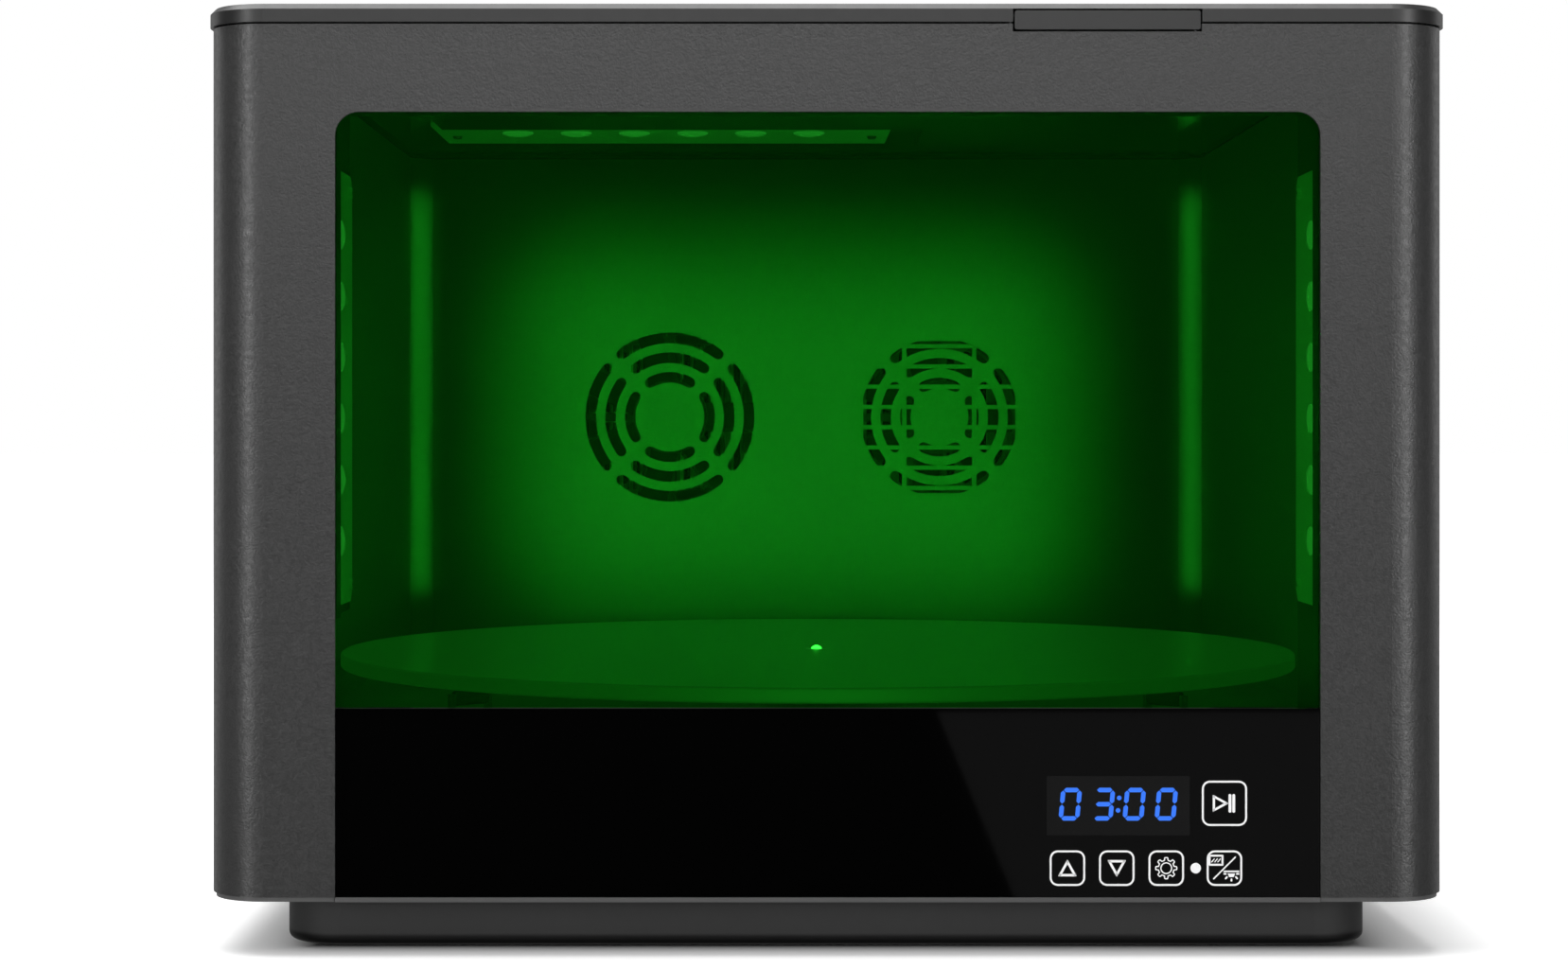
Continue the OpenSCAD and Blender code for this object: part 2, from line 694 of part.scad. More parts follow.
// One ring of four slots with round ends, between spokes at 45 degrees
slot_end = 0.94;
spoke_angle = 45;
module slot_ring(outer_r, w) {
  mid_r = outer_r - w / 2;
  end_a = spoke_angle - (spoke_w / 2 + w / 2) / mid_r * 180 / PI;
  reach_x = 2 * outer_r * cos(end_a);
  reach_z = 2 * outer_r * sin(end_a);
  for (q = [0 : 90 : 270]) rotate(q) {
    intersection() {
      difference() {
        circle(outer_r, $fn = 96);
        circle(outer_r - w, $fn = 96);
      }
      polygon([[0, 0], [reach_x, -reach_z], [reach_x, reach_z]]);
    }
    for (s = [-1, 1]) rotate(s * end_a) translate([mid_r, 0]) circle(slot_end * w / 2);
  }
}
fan_z = floor_z + fan_rise;
grille_rings = 3;
wire_hole_w = 60;
wire_hole_h = 16;
module grille(x, outer_r) translate([x, fan_z])
  for (i = [0 : grille_rings - 1]) slot_ring(outer_r - i * slot_pitch, slot_w);

seal_margin = 1.5;
flange_end_y = back_rear_y + seal_w + cut;
module chamber_liner() color(liner_bright) difference() {
  union() {
    translate([0, 0, deck_z]) linear_extrude(liner_top - deck_z) chamber_outside();
    translate([-flange_x, post_end_y, liner_top - liner_t])
      cube([2 * flange_x, flange_end_y - post_end_y, liner_t]);
    translate([-wall_out_x, frame_y, deck_z])
      cube([liner_t, post_end_y - frame_y + cut, left_post_z - deck_z]);
  }
  translate([0, 0, deck_z - cut]) linear_extrude(liner_top - deck_z + 2 * cut)
    chamber_inside(post_end_y - cut);
  upright(back_y - cut, liner_t + 2 * cut) {
    grille(-fan_left_x, grille_left_r);
    grille(fan_right_x, grille_right_r);
    plate_2d(0, deck_z + floor_rise / 2, wire_hole_w, wire_hole_h);
  }
}

// Chamber floor: a table folded down at both sides
shaft_hole_r = 5.5;
floor_leg_end = 20;
module floor_outline() polygon([
  [-win_x - fit_gap, rail_end_y], [post_face_x - fit_gap, rail_end_y],
  [post_face_x - fit_gap, post_bend_y], [wall_x - fit_gap, post_end_y],
  [wall_x - fit_gap, back_y - facet], [wall_x - facet, back_y - fit_gap],
  [-wall_x + facet, back_y - fit_gap], [-wall_x + fit_gap, back_y - facet],
  [-wall_x + fit_gap, frame_y + fit_gap], [-win_x - fit_gap, frame_y + fit_gap]]);
module chamber_floor() color(liner_bright) difference() {
  union() {
    translate([0, 0, floor_z - liner_t]) linear_extrude(liner_t) floor_outline();
    for (s = [-1, 1])
      translate([s * (wall_x - fit_gap - liner_t / 2), (post_end_y + back_y) / 2, (deck_z + floor_z) / 2])
        cube([liner_t, back_y - post_end_y - 2 * floor_leg_end, floor_rise], center = true);
  }
  translate([0, disc_y, floor_z - liner_t - cut]) cylinder(r = shaft_hole_r, h = liner_t + 2 * cut);
}

// Light seal: a soft strip round the chamber's upper edge
seal_front_y = frame_y + cut;
seal_x = shell_in_x - seal_margin;
seal_d = flange_end_y - seal_front_y;
module light_seal() color(rubber_black)
  translate([0, (seal_front_y + flange_end_y) / 2, liner_top]) linear_extrude(seal_h) difference() {
    rounded_rect(2 * seal_x, seal_d, corner_r - 2 * seal_margin);
    square([2 * (seal_x - seal_w), seal_d - 2 * seal_w], center = true);
  }

// Lens with a domed face, along +Z from its board
module lens(dia, h) {
  rim_h = h / 3;
  dome_h = h - rim_h;
  dome_r = (dia * dia / 4 + dome_h * dome_h) / (2 * dome_h);
  cylinder(d = dia, h = rim_h);
  translate([0, 0, h - dome_r]) intersection() {
    sphere(dome_r);
    translate([0, 0, dome_r - h]) cylinder(d = dia, h = h);
  }
}

// Side lamp boards on the posts' faces
side_board_y = rail_end_y + side_board_in;
side_board_z = floor_z + side_board_rise;
side_lamp_y = side_board_y + side_lamp_in;
side_screw_y = side_board_y + side_screw_in;
side_screw_rise = side_board_h / 2 - side_screw_end;
module side_board(side) {
  y1 = side_board_y + side_board_d;
  half = side_board_h / 2;
  color(board_white) difference() {
    sideways(side > 0 ? post_face_x - board_t : -post_face_x, board_t) polygon([
      [side_board_y, side_board_z - half], [y1 - side_board_cut, side_board_z - half],
      [y1, side_board_z - half + side_board_cut], [y1, side_board_z + half - side_board_cut],
      [y1 - side_board_cut, side_board_z + half], [side_board_y, side_board_z + half]]);
    for (s = [-1, 1])
      bar_x(side * post_face_x - 2 * board_t, side_screw_y, side_board_z + s * side_screw_rise,
        board_screw_r + shaft_clear, 4 * board_t);
  }
}
module led_board_left() side_board(-1);
module led_board_right() side_board(1);
module side_led_lenses() color(lens_clear, 0.8)
  for (side = [-1, 1], i = [0 : lamp_count - 1]) {
    lamp_z = side_board_z + (i - (lamp_count - 1) / 2) * side_lamp_pitch;
    translate([side * (post_face_x - board_t), side_lamp_y, lamp_z])
      rotate([0, -side * 90, 0]) lens(side_lens_dia, side_lens_h);
  }

// Screws of the lamp boards
board_screw_r = 1.2;
board_screw_head_r = 2.3;
board_screw_top_r = 1.7;
board_screw_head_h = 1.2;
module board_screw() {
  translate([0, 0, -board_t]) cylinder(r = board_screw_r, h = board_t + board_screw_head_h / 2);
  cylinder(r1 = board_screw_head_r, r2 = board_screw_top_r, h = board_screw_head_h);
}
module side_board_screws() color(board_white)
  for (side = [-1, 1], s = [-1, 1])
    translate([side * (post_face_x - board_t), side_screw_y, side_board_z + s * side_screw_rise])
      rotate([0, -side * 90, 0]) board_screw();

// Fan frame: a square ring with a stator hub on struts
fan_wall = 2.5;
stator_h = 4;
strut_w = 4;
fan_hub_r = fan_hub_dia / 2;
fan_pin_r = 1.5;
fan_bolt_in = 5;
module fan_frame(x, size, y0) color(plastic_black) difference() {
  union() {
    difference() {
      translate([x, 0, fan_z]) upright(y0, fan_depth) rounded_rect(size, size, fan_bolt_in);
      bar_y(x, y0 - cut, fan_z, size / 2 - fan_wall, fan_depth + 2 * cut);
    }
    bar_y(x, y0 + fan_depth - stator_h, fan_z, fan_hub_r - cut, stator_h);
    for (a = [0 : 90 : 270]) translate([x, y0 + fan_depth - stator_h, fan_z]) rotate([0, a, 0])
      translate([0, 0, -strut_w / 2]) cube([size / 2 - fan_wall / 2, stator_h, strut_w]);
  }
  bar_y(x, y0, fan_z, fan_pin_r + shaft_clear, fan_depth - cut);
  bolt = size / 2 - fan_bolt_in;
  for (sx = [-1, 1], sz = [-1, 1])
    bar_y(x + sx * bolt, y0 - cut, fan_z + sz * bolt, screw_r + screw_hole_clear, fan_depth + 2 * cut);
}

// Fan rotor: a hub, its pin and pitched blades
rotor_in = 2.5;
blade_t = 1.4;
blade_pitch = 38;
blade_gap = 1;
module fan_rotor(x, size, y0) color("#2a2a2a") {
  rotor_h = fan_depth - stator_h - rotor_in - turn_gap;
  bar_y(x, y0 + rotor_in, fan_z, fan_hub_r, rotor_h);
  bar_y(x, y0 + rotor_in + rotor_h - cut, fan_z, fan_pin_r, stator_h - cut);
  intersection() {
    union() {
      for (i = [0 : blade_count - 1]) translate([x, y0 + rotor_in + rotor_h / 2, fan_z])
        rotate([0, i * 360 / blade_count, 0]) translate([fan_hub_r - blade_gap, 0, 0])
          rotate([blade_pitch, 0, 0]) translate([0, -size / 2, -blade_t / 2])
            cube([size / 2, size, blade_t]);
    }
    difference() {
      bar_y(x, y0 + rotor_in + cut, fan_z, size / 2 - fan_wall - blade_gap, rotor_h - 2 * cut);
      bar_y(x, y0 + rotor_in, fan_z, fan_hub_r - weld_depth, rotor_h);
    }
  }
}
fan_left_y = back_rear_y;
guard_y = back_rear_y;
fan_right_y = guard_y + guard_bar;
module fan_frame_left() fan_frame(-fan_left_x, fan_left_size, fan_left_y);
module fan_frame_right() fan_frame(fan_right_x, fan_right_size, fan_right_y);
module fan_rotor_left() fan_rotor(-fan_left_x, fan_left_size, fan_left_y);
module fan_rotor_right() fan_rotor(fan_right_x, fan_right_size, fan_right_y);

// Vent guard: bars behind the right grille
guard_upright_gap = 34;
guard_frame = 3;
guard_count = 8;
module vent_guard() color(liner_bright) translate([fan_right_x, 0, fan_z]) upright(guard_y, guard_bar) {
  difference() {
    square(fan_right_size, center = true);
    square(fan_right_size - 2 * guard_frame, center = true);
  }
  for (i = [0 : guard_count - 1]) translate([0, (i - (guard_count - 1) / 2) * guard_pitch])
    square([fan_right_size - guard_frame, guard_bar], center = true);
  for (s = [-1, 1]) translate([s * guard_upright_gap / 2, 0])
    square([guard_bar, fan_right_size - guard_frame], center = true);
}

// Heater: a finned block behind the left fan
heater_frame = 5;
fin_pitch = 5;
fin_t = 1.2;
fin_count = 13;
module heater_block() color(steel_plain) translate([-fan_left_x, 0, fan_z])
  upright(fan_left_y + fan_depth, heater_d) {
    difference() {
      square(fan_left_size - 2 * heater_frame, center = true);
      square(fan_left_size - 4 * heater_frame, center = true);
    }
    for (i = [0 : fin_count - 1]) translate([(i - (fin_count - 1) / 2) * fin_pitch, 0])
      square([fin_t, fan_left_size - 3 * heater_frame], center = true);
    square([fan_left_size - 3 * heater_frame, heater_frame], center = true);
  }

// Turntable drive
shaft_r = shaft_dia / 2;
pin_r = pin_dia / 2;
hub_z = disc_z - hub_h;
shaft_step_z = hub_z + hub_h / 3;
shaft_seat = 10;
pin_seat = 0.6;
spigot_h = 2;
motor_top = floor_z - liner_t;
ear_l = 58;
ear_w = 10;
ear_t = 1.2;
module turntable_motor() color(steel_plain) translate([0, disc_y, 0]) difference() {
  union() {
    translate([0, 0, motor_top - motor_h]) cylinder(d = motor_dia, h = motor_h);
    translate([0, 0, motor_top - ear_t / 2]) cube([ear_l, ear_w, ear_t], center = true);
    translate([0, 0, motor_top - cut]) cylinder(r = shaft_hole_r - turn_gap, h = liner_t + spigot_h + cut);
  }
  translate([0, 0, floor_z - shaft_seat - fit_gap])
    cylinder(r = shaft_r + shaft_clear, h = shaft_seat + spigot_h + cut);
}
module drive_shaft() color(steel_plain) translate([0, disc_y, 0]) {
  translate([0, 0, floor_z - shaft_seat]) cylinder(r = shaft_r, h = shaft_step_z - floor_z + shaft_seat);
  translate([0, 0, shaft_step_z - cut]) cylinder(r = pin_r, h = disc_top - shaft_step_z + cut);
  translate([0, 0, disc_top - pin_seat]) lens(pin_dia, pin_seat + pin_above);
}
module turntable_hub() color(plastic_black) translate([0, disc_y, 0]) difference() {
  translate([0, 0, hub_z]) cylinder(d = hub_dia, h = hub_h);
  translate([0, 0, hub_z - cut]) cylinder(r = shaft_r, h = hub_h / 3 + cut);
  translate([0, 0, hub_z]) cylinder(r = pin_r, h = hub_h + cut);
}
disc_edge = 0.6;
module turntable_disc() color(disc_gloss) translate([0, disc_y, 0]) difference() {
  union() {
    translate([0, 0, disc_z])
      cylinder(r1 = disc_r - disc_edge, r2 = disc_r, h = disc_edge, $fn = 128);
    translate([0, 0, disc_z + disc_edge])
      cylinder(r = disc_r, h = disc_t - 2 * disc_edge, $fn = 128);
    translate([0, 0, disc_top - disc_edge])
      cylinder(r1 = disc_r, r2 = disc_r - disc_edge, h = disc_edge, $fn = 128);
  }
  translate([0, 0, disc_z - cut]) cylinder(d = disc_hole_dia, h = disc_t + 2 * cut);
}

// Support rollers: radial axes on brackets under the disc's rim
roller_r = roller_dia / 2;
roller_z = disc_z - roller_gap - roller_r;
axle_r = axle_dia / 2;
tab_plate_t = 1;
bracket_w = 3.6;
bracket_base_t = 1;
bracket_in = roller_l / 2 + turn_gap;
bracket_out = bracket_in + tab_plate_t;
roller_edge = 0.8;
roller_ring_r = disc_r - roller_in;
module at_roller(sx, sy) translate([0, disc_y, 0])
  rotate([0, 0, sx > 0 ? sy * roller_right_angle : 180 - sy * roller_left_angle])
    translate([roller_ring_r, 0, 0]) children();
module roller(sx, sy) color(rubber_black) at_roller(sx, sy) difference() {
  union() {
    bar_x(-roller_l / 2 + roller_edge, 0, roller_z, roller_r, roller_l - 2 * roller_edge);
    translate([roller_l / 2 - roller_edge, 0, roller_z]) rotate([0, 90, 0])
      cylinder(r1 = roller_r, r2 = roller_r - roller_edge, h = roller_edge);
    translate([-roller_l / 2, 0, roller_z]) rotate([0, 90, 0])
      cylinder(r1 = roller_r - roller_edge, r2 = roller_r, h = roller_edge);
  }
  bar_x(-roller_l / 2 - cut, 0, roller_z, axle_r + shaft_clear, roller_l + 2 * cut);
}
module roller_front_left() roller(-1, -1);
module roller_front_right() roller(1, -1);
module roller_rear_left() roller(-1, 1);
module roller_rear_right() roller(1, 1);
module roller_bracket() difference() {
  union() {
    translate([-bracket_out, -bracket_w / 2, floor_z]) cube([2 * bracket_out, bracket_w, bracket_base_t]);
    for (x = [-bracket_out, bracket_in]) translate([x, -bracket_w / 2, floor_z])
      cube([tab_plate_t, bracket_w, roller_z - floor_z + axle_r + tab_plate_t / 2]);
  }
  bar_x(-bracket_out - cut, 0, roller_z, axle_r, 2 * bracket_out + 2 * cut);
}
module roller_brackets() color(liner_bright)
  for (sx = [-1, 1], sy = [-1, 1]) at_roller(sx, sy) roller_bracket();
module roller_axles() color(steel_plain)
  for (sx = [-1, 1], sy = [-1, 1]) at_roller(sx, sy)
    bar_x(-bracket_out, 0, roller_z, axle_r, 2 * bracket_out);

// Power supply: a caged block on the bottom plate
supply_x = 75;
supply_hole_r = 3;
supply_hole_pitch = 14;
supply_rear_gap = 12;
supply_y = back_y - supply_rear_gap - supply_d / 2;
module power_supply() color(steel_plain) difference() {
  translate([supply_x, supply_y, deck_z + supply_h / 2])
    cube([supply_w, supply_d, supply_h], center = true);
  translate([supply_x, supply_y, deck_z + supply_h - supply_hole_r]) for (i = [-2 : 2], j = [-2 : 2])
    translate([i * supply_hole_pitch, j * supply_hole_pitch, 0])
      cylinder(r = supply_hole_r, h = supply_hole_r + cut);
}

// Mains inlet: a three pin socket in the rear panel
inlet_body_w = 27;
inlet_body_h = 19.5;
inlet_flange_w = 50;
inlet_flange_h = 22.5;
inlet_flange_t = 2.5;
inlet_depth = 20;
inlet_cavity_w = 22.6;
inlet_cavity_h = 15.4;
inlet_cavity_d = 16.5;
inlet_pin_l = 11;
inlet_pin_w = 2;
inlet_pin_h = 4;
inlet_pin_pitch = 7;
inlet_pin_rise = 2;
inlet_corner_r = 3;
inlet_screw_out = 20;
inlet_screw_xs = [-inlet_x - inlet_screw_out, -inlet_x + inlet_screw_out];
module power_inlet() color(plastic_black) translate([-inlet_x, 0, inlet_mid_z]) {
  difference() {
    union() {
      upright(shell_in_y, inlet_flange_t) rounded_rect(inlet_flange_w, inlet_flange_h, inlet_corner_r);
      upright(shell_in_y - inlet_depth, inlet_depth + cut)
        square([inlet_body_w, inlet_body_h], center = true);
    }
    upright(shell_in_y + inlet_flange_t - inlet_cavity_d, inlet_cavity_d + cut)
      rounded_rect(inlet_cavity_w, inlet_cavity_h, inlet_corner_r);
    for (s = [-1, 1])
      bar_y(s * inlet_screw_out, shell_in_y - cut, 0, screw_r + screw_hole_clear, inlet_flange_t + 2 * cut);
  }
  upright(shell_in_y + inlet_flange_t - inlet_cavity_d - cut, inlet_pin_l + cut) {
    translate([0, inlet_pin_rise]) square([inlet_pin_w, inlet_pin_h], center = true);
    for (s = [-1, 1]) translate([s * inlet_pin_pitch, -inlet_pin_rise])
      square([inlet_pin_w, inlet_pin_h], center = true);
  }
}

// Rocker switch beside the inlet
switch_w = 12.9;
switch_h = 20.4;
switch_flange = 1.5;
switch_rim = 1.2;
switch_depth = 12;
switch_corner_r = 1.5;
rocker_w = 10;
rocker_h = 16;
rocker_slot_w = 10.6;
rocker_slot_h = 17.8;
rocker_slot_d = 9;
rocker_y = shell_in_y - 1;
rocker_pin_r = 1;
rocker_pin_out = 5.9;
module switch_frame() color(plastic_black) translate([-switch_x, 0, inlet_mid_z]) difference() {
  union() {
    upright(shell_in_y, switch_flange)
      rounded_rect(switch_w + 2 * switch_rim, switch_h + 2 * switch_rim, switch_corner_r);
    upright(shell_in_y - switch_depth, switch_depth + switch_flange / 2)
      square([switch_w, switch_h], center = true);
  }
  upright(shell_in_y + switch_flange - rocker_slot_d, rocker_slot_d + cut)
    square([rocker_slot_w, rocker_slot_h], center = true);
  bar_x(-rocker_pin_out - turn_gap, rocker_y, 0, rocker_pin_r + shaft_clear,
    2 * rocker_pin_out + 2 * turn_gap);
}
rocker_back = 2.5;
rocker_back_h = 11.2;
rocker_face_mid = 3;
rocker_face_end = 4;
module power_rocker() color("#101010") translate([-switch_x, rocker_y, inlet_mid_z])
  rotate([rocker_swing / 2, 0, 0]) {
    sideways(-rocker_w / 2, rocker_w) polygon([
      [-rocker_back, -rocker_back_h / 2], [rocker_face_end, -rocker_h / 2], [rocker_face_mid, 0],
      [rocker_face_end, rocker_h / 2], [-rocker_back, rocker_back_h / 2]]);
    bar_x(-rocker_pin_out, 0, 0, rocker_pin_r, 2 * rocker_pin_out);
  }

// Hinges on the shell's rear
knuckle_r = knuckle_dia / 2;
hinge_pin_r = hinge_pin_dia / 2;
function knuckle_x0(x, i) = x - leaf_w / 2 + i * knuckle_l + turn_gap / 2;
knuckle_len = knuckle_l - turn_gap;
module shell_hinge(x) color(steel_plain) difference() {
  union() {
    translate([x - leaf_w / 2, rear_y, leaf_top - leaf_h]) cube([leaf_w, leaf_t, leaf_h]);
    for (i = [0, 2, 4]) {
      bar_x(knuckle_x0(x, i), hinge_y, hinge_z, knuckle_r, knuckle_len);
      translate([knuckle_x0(x, i), rear_y, hinge_z - knuckle_r]) cube([knuckle_len, hinge_out, knuckle_r]);
      translate([knuckle_x0(x, i), rear_y, leaf_top - cut])
        cube([knuckle_len, leaf_t, hinge_z - leaf_top + cut]);
    }
  }
  bar_x(x - leaf_w, hinge_y, hinge_z, hinge_pin_r, 2 * leaf_w);
  for (dx = leaf_screw_xs)
    bar_y(x + dx, rear_y - cut, leaf_screw_z, screw_r + screw_hole_clear, leaf_t + 2 * cut);
}
module shell_hinge_left() shell_hinge(-hinge_x);
module shell_hinge_right() shell_hinge(hinge_x);
pin_head_t = 1;
pin_head_r = 2.2;
module hinge_pins() color(steel_plain) for (s = [-1, 1]) {
  bar_x(s * hinge_x - leaf_w / 2 - pin_head_t / 2, hinge_y, hinge_z, hinge_pin_r, leaf_w + pin_head_t);
  for (e = [-1, 1]) translate([s * hinge_x + e * (leaf_w / 2 + pin_head_t / 2) - pin_head_t / 2, 0, 0])
    bar_x(0, hinge_y, hinge_z, pin_head_r, pin_head_t);
}

// Lid leaves, welded along the lid's rear rim
lid_side_top = unit_h - lid_chamfer;
lid_leaf_y = rear_y + lid_overhang;
lid_leaf_z = hinge_z + knuckle_r + turn_gap;
module lid_hinge(x) color(steel_plain) difference() {
  union() {
    translate([knuckle_x0(x, 1), lid_leaf_y, lid_leaf_z])
      cube([3 * knuckle_l - turn_gap, hinge_clear + cut, lid_side_top - lid_leaf_z]);
    for (i = [1, 3]) {
      bar_x(knuckle_x0(x, i), hinge_y, hinge_z, knuckle_r, knuckle_len);
      translate([knuckle_x0(x, i), lid_leaf_y, lid_z])
        cube([knuckle_len, hinge_clear + cut, lid_side_top - lid_z]);
      translate([knuckle_x0(x, i), lid_leaf_y, lid_z])
        cube([knuckle_len, hinge_out - lid_overhang, hinge_z + knuckle_r - lid_z]);
    }
  }
  bar_x(x - leaf_w, hinge_y, hinge_z, hinge_pin_r + shaft_clear, 2 * leaf_w);
}
module lid_hinge_left() lid_hinge(-hinge_x);
module lid_hinge_right() lid_hinge(hinge_x);

// Screws on the shell's rear
module rear_screw(x, z, y_head, grip) {
  bar_y(x, y_head - grip, z, screw_r, grip + screw_head_h / 2);
  bar_y(x, y_head, z, screw_head_r, screw_head_h);
}
module rear_screws() color(steel_plain) {
  for (p = rear_screw_places) rear_screw(p[0], p[1], rear_y, 2 * sheet_t);
  for (s = [-1, 1], dx = leaf_screw_xs)
    rear_screw(s * hinge_x + dx, leaf_screw_z, rear_y + leaf_t, leaf_t + sheet_t);
  for (x = inlet_screw_xs)
    rear_screw(x, inlet_mid_z, shell_in_y + inlet_flange_t, inlet_flange_t + sheet_t);
}

// Lid sensor under the liner's flange, and its magnet in the lid
sensor_w = 7;
sensor_l = 20;
sensor_h = 6;
sensor_x = -(wall_out_x + flange_x) / 2;
sensor_y = mid_y;
module lid_sensor() color(plastic_black)
  translate([sensor_x, sensor_y, liner_top - liner_t - sensor_h / 2])
    cube([sensor_w, sensor_l, sensor_h], center = true);
magnet_r = 3;
magnet_h = 3;
module lid_magnet() color(steel_plain)
  translate([sensor_x + magnet_r, sensor_y, ceiling_z + liner_t]) cylinder(r = magnet_r, h = magnet_h);

// Lid cover: a shallow pan with a chamfered upper edge
lid_w = body_w + 2 * lid_overhang;
lid_d = body_d + 2 * lid_overhang;
lid_r = corner_r + lid_overhang;
module chamfered_top(w, d, r, c) {
  rotate([90, 0, 0]) translate([0, 0, -(d / 2 - r)]) linear_extrude(d - 2 * r)
    polygon([[-w / 2, 0], [w / 2, 0], [w / 2 - c, c], [-w / 2 + c, c]]);
  rotate([90, 0, 90]) translate([0, 0, -(w / 2 - r)]) linear_extrude(w - 2 * r)
    polygon([[-d / 2, 0], [d / 2, 0], [d / 2 - c, c], [-d / 2 + c, c]]);
  for (sx = [-1, 1], sy = [-1, 1]) translate([sx * (w / 2 - r), sy * (d / 2 - r), 0])
    cylinder(r1 = r, r2 = r - c, h = c);
}
tab_z = lid_z - tab_drop;
module lid_cover() color(shell_paint) difference() {
  translate([0, mid_y, 0]) {
    translate([0, 0, lid_z]) linear_extrude(lid_h - lid_chamfer) rounded_rect(lid_w, lid_d, lid_r);
    translate([0, 0, lid_side_top]) chamfered_top(lid_w, lid_d, lid_r, lid_chamfer);
  }
  translate([0, mid_y, lid_z - cut]) linear_extrude(lid_h - sheet_t + cut)
    rounded_rect(lid_w - 2 * sheet_t, lid_d - 2 * sheet_t, lid_r - sheet_t);
  translate([tab_x - tab_w / 2 - tab_gap, front_y - lid_overhang - cut, lid_z - cut])
    cube([tab_w + 2 * tab_gap, sheet_t + 2 * cut, tab_z + tab_h + tab_gap - lid_z + cut]);
}

// Lid liner: the chamber's dark glossy ceiling
lid_liner_x = shell_in_x - liner_margin;
lid_liner_y0 = pane_y + liner_margin + cut;
lid_liner_y1 = shell_in_y - 3 * liner_margin;
lid_liner_r = 6;
lid_liner_w = 2 * lid_liner_x;
lid_liner_d = lid_liner_y1 - lid_liner_y0;
lid_liner_h = lid_inner_z - ceiling_z;
module lid_liner() color(cover_dark)
  translate([0, (lid_liner_y0 + lid_liner_y1) / 2, ceiling_z]) difference() {
    linear_extrude(lid_liner_h) rounded_rect(lid_liner_w, lid_liner_d, lid_liner_r);
    translate([0, 0, liner_t]) linear_extrude(lid_liner_h)
      rounded_rect(lid_liner_w - 2 * liner_t, lid_liner_d - 2 * liner_t, lid_liner_r - liner_t);
  }

// Pull tab on the lid's front
tab_front_t = 1.8;
tab_ledge_t = 1.5;
tab_corner_r = 0.8;
tab_y = front_y - lid_overhang;
tab_ledge_y = tab_y + tab_front_t - cut / 2;
module lid_pull_tab() color(shell_paint) {
  translate([tab_x, 0, tab_z + tab_h / 2]) upright(tab_y, tab_front_t)
    rounded_rect(tab_w, tab_h, tab_corner_r);
  translate([tab_x - tab_w / 2 + cut, tab_ledge_y, lid_z + tab_gap])
    cube([tab_w - 2 * cut, lid_liner_y0 - tab_ledge_y, tab_ledge_t]);
}

// Dark cover under the ceiling, wider at its right
cover_x = wall_x - cover_side;
cover_y0 = front_y + cover_front;
cover_left_y = front_y + cover_left_end;
cover_right_y = front_y + cover_right_end;
module cover_outline(in) polygon([
  [-cover_x + in, cover_y0 + in], [cover_x - in, cover_y0 + in], [cover_x - in, cover_right_y - in],
  [cover_step_x + in, cover_right_y - in], [cover_step_x + in, cover_left_y - in],
  [-cover_x + in, cover_left_y - in]]);
module ceiling_cover() color(cover_dark) difference() {
  translate([0, 0, ceiling_z - cover_h]) linear_extrude(cover_h) cover_outline(0);
  translate([0, 0, ceiling_z - cover_h + liner_t]) linear_extrude(cover_h) cover_outline(liner_t);
}

// Top lamp board and its lenses and screws
top_board_y = front_y + top_board_front;
top_lamp_y = top_board_y + top_lamp_in;
top_screw_y = top_board_y + top_screw_in;
top_screw_x = top_board_w / 2 - top_screw_end;
top_board_z = ceiling_z - board_t;
module led_board_top() color(board_white) difference() {
  translate([-top_board_x - top_board_w / 2, top_board_y, top_board_z])
    cube([top_board_w, top_board_d, board_t]);
  for (s = [-1, 1]) translate([-top_board_x + s * top_screw_x, top_screw_y, top_board_z - cut])
    cylinder(r = board_screw_r + shaft_clear, h = board_t + 2 * cut);
}
module top_led_lenses() color(lens_clear, 0.8)
  for (i = [0 : lamp_count - 1])
    translate([-top_board_x + (i - (lamp_count - 1) / 2) * top_lamp_pitch, top_lamp_y, top_board_z])
      rotate([180, 0, 0]) lens(top_lens_dia, top_lens_h);
module top_board_screws() color(steel_plain)
  for (s = [-1, 1]) translate([-top_board_x + s * top_screw_x, top_screw_y, top_board_z])
    rotate([180, 0, 0]) board_screw();

outer_shell();
rear_panel();
bottom_plate();
base_pan();
rubber_feet();
front_lip_trim();
front_window();
control_glass();
glass_carrier();
front_rail();
header_rail();
front_post_left();
front_post_right();
chamber_liner();
chamber_floor();
light_seal();
led_board_left();
led_board_right();
side_led_lenses();
side_board_screws();
fan_frame_left();
fan_frame_right();
vent_guard();
heater_block();
turntable_motor();
roller_brackets();
roller_axles();
control_board();
display_module();
touch_sensors();
status_lamp();
power_supply();
power_inlet();
switch_frame();
shell_hinge_left();
shell_hinge_right();
hinge_pins();
rear_screws();
lid_sensor();
lid_cover();
lid_liner();
ceiling_cover();
led_board_top();
top_led_lenses();
top_board_screws();
lid_pull_tab();
lid_hinge_left();
lid_hinge_right();
lid_magnet();
turntable_disc();
turntable_hub();
drive_shaft();
roller_front_left();
roller_front_right();
roller_rear_left();
roller_rear_right();
fan_rotor_left();
fan_rotor_right();
power_rocker();
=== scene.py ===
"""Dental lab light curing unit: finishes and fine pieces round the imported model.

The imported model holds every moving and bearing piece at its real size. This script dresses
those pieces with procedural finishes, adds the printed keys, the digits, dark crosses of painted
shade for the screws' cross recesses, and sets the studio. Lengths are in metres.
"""
import json
import logging
import math
from dataclasses import dataclass, field
from enum import Enum
from typing import Sequence

import bmesh
import bpy
from mathutils import Matrix, Vector


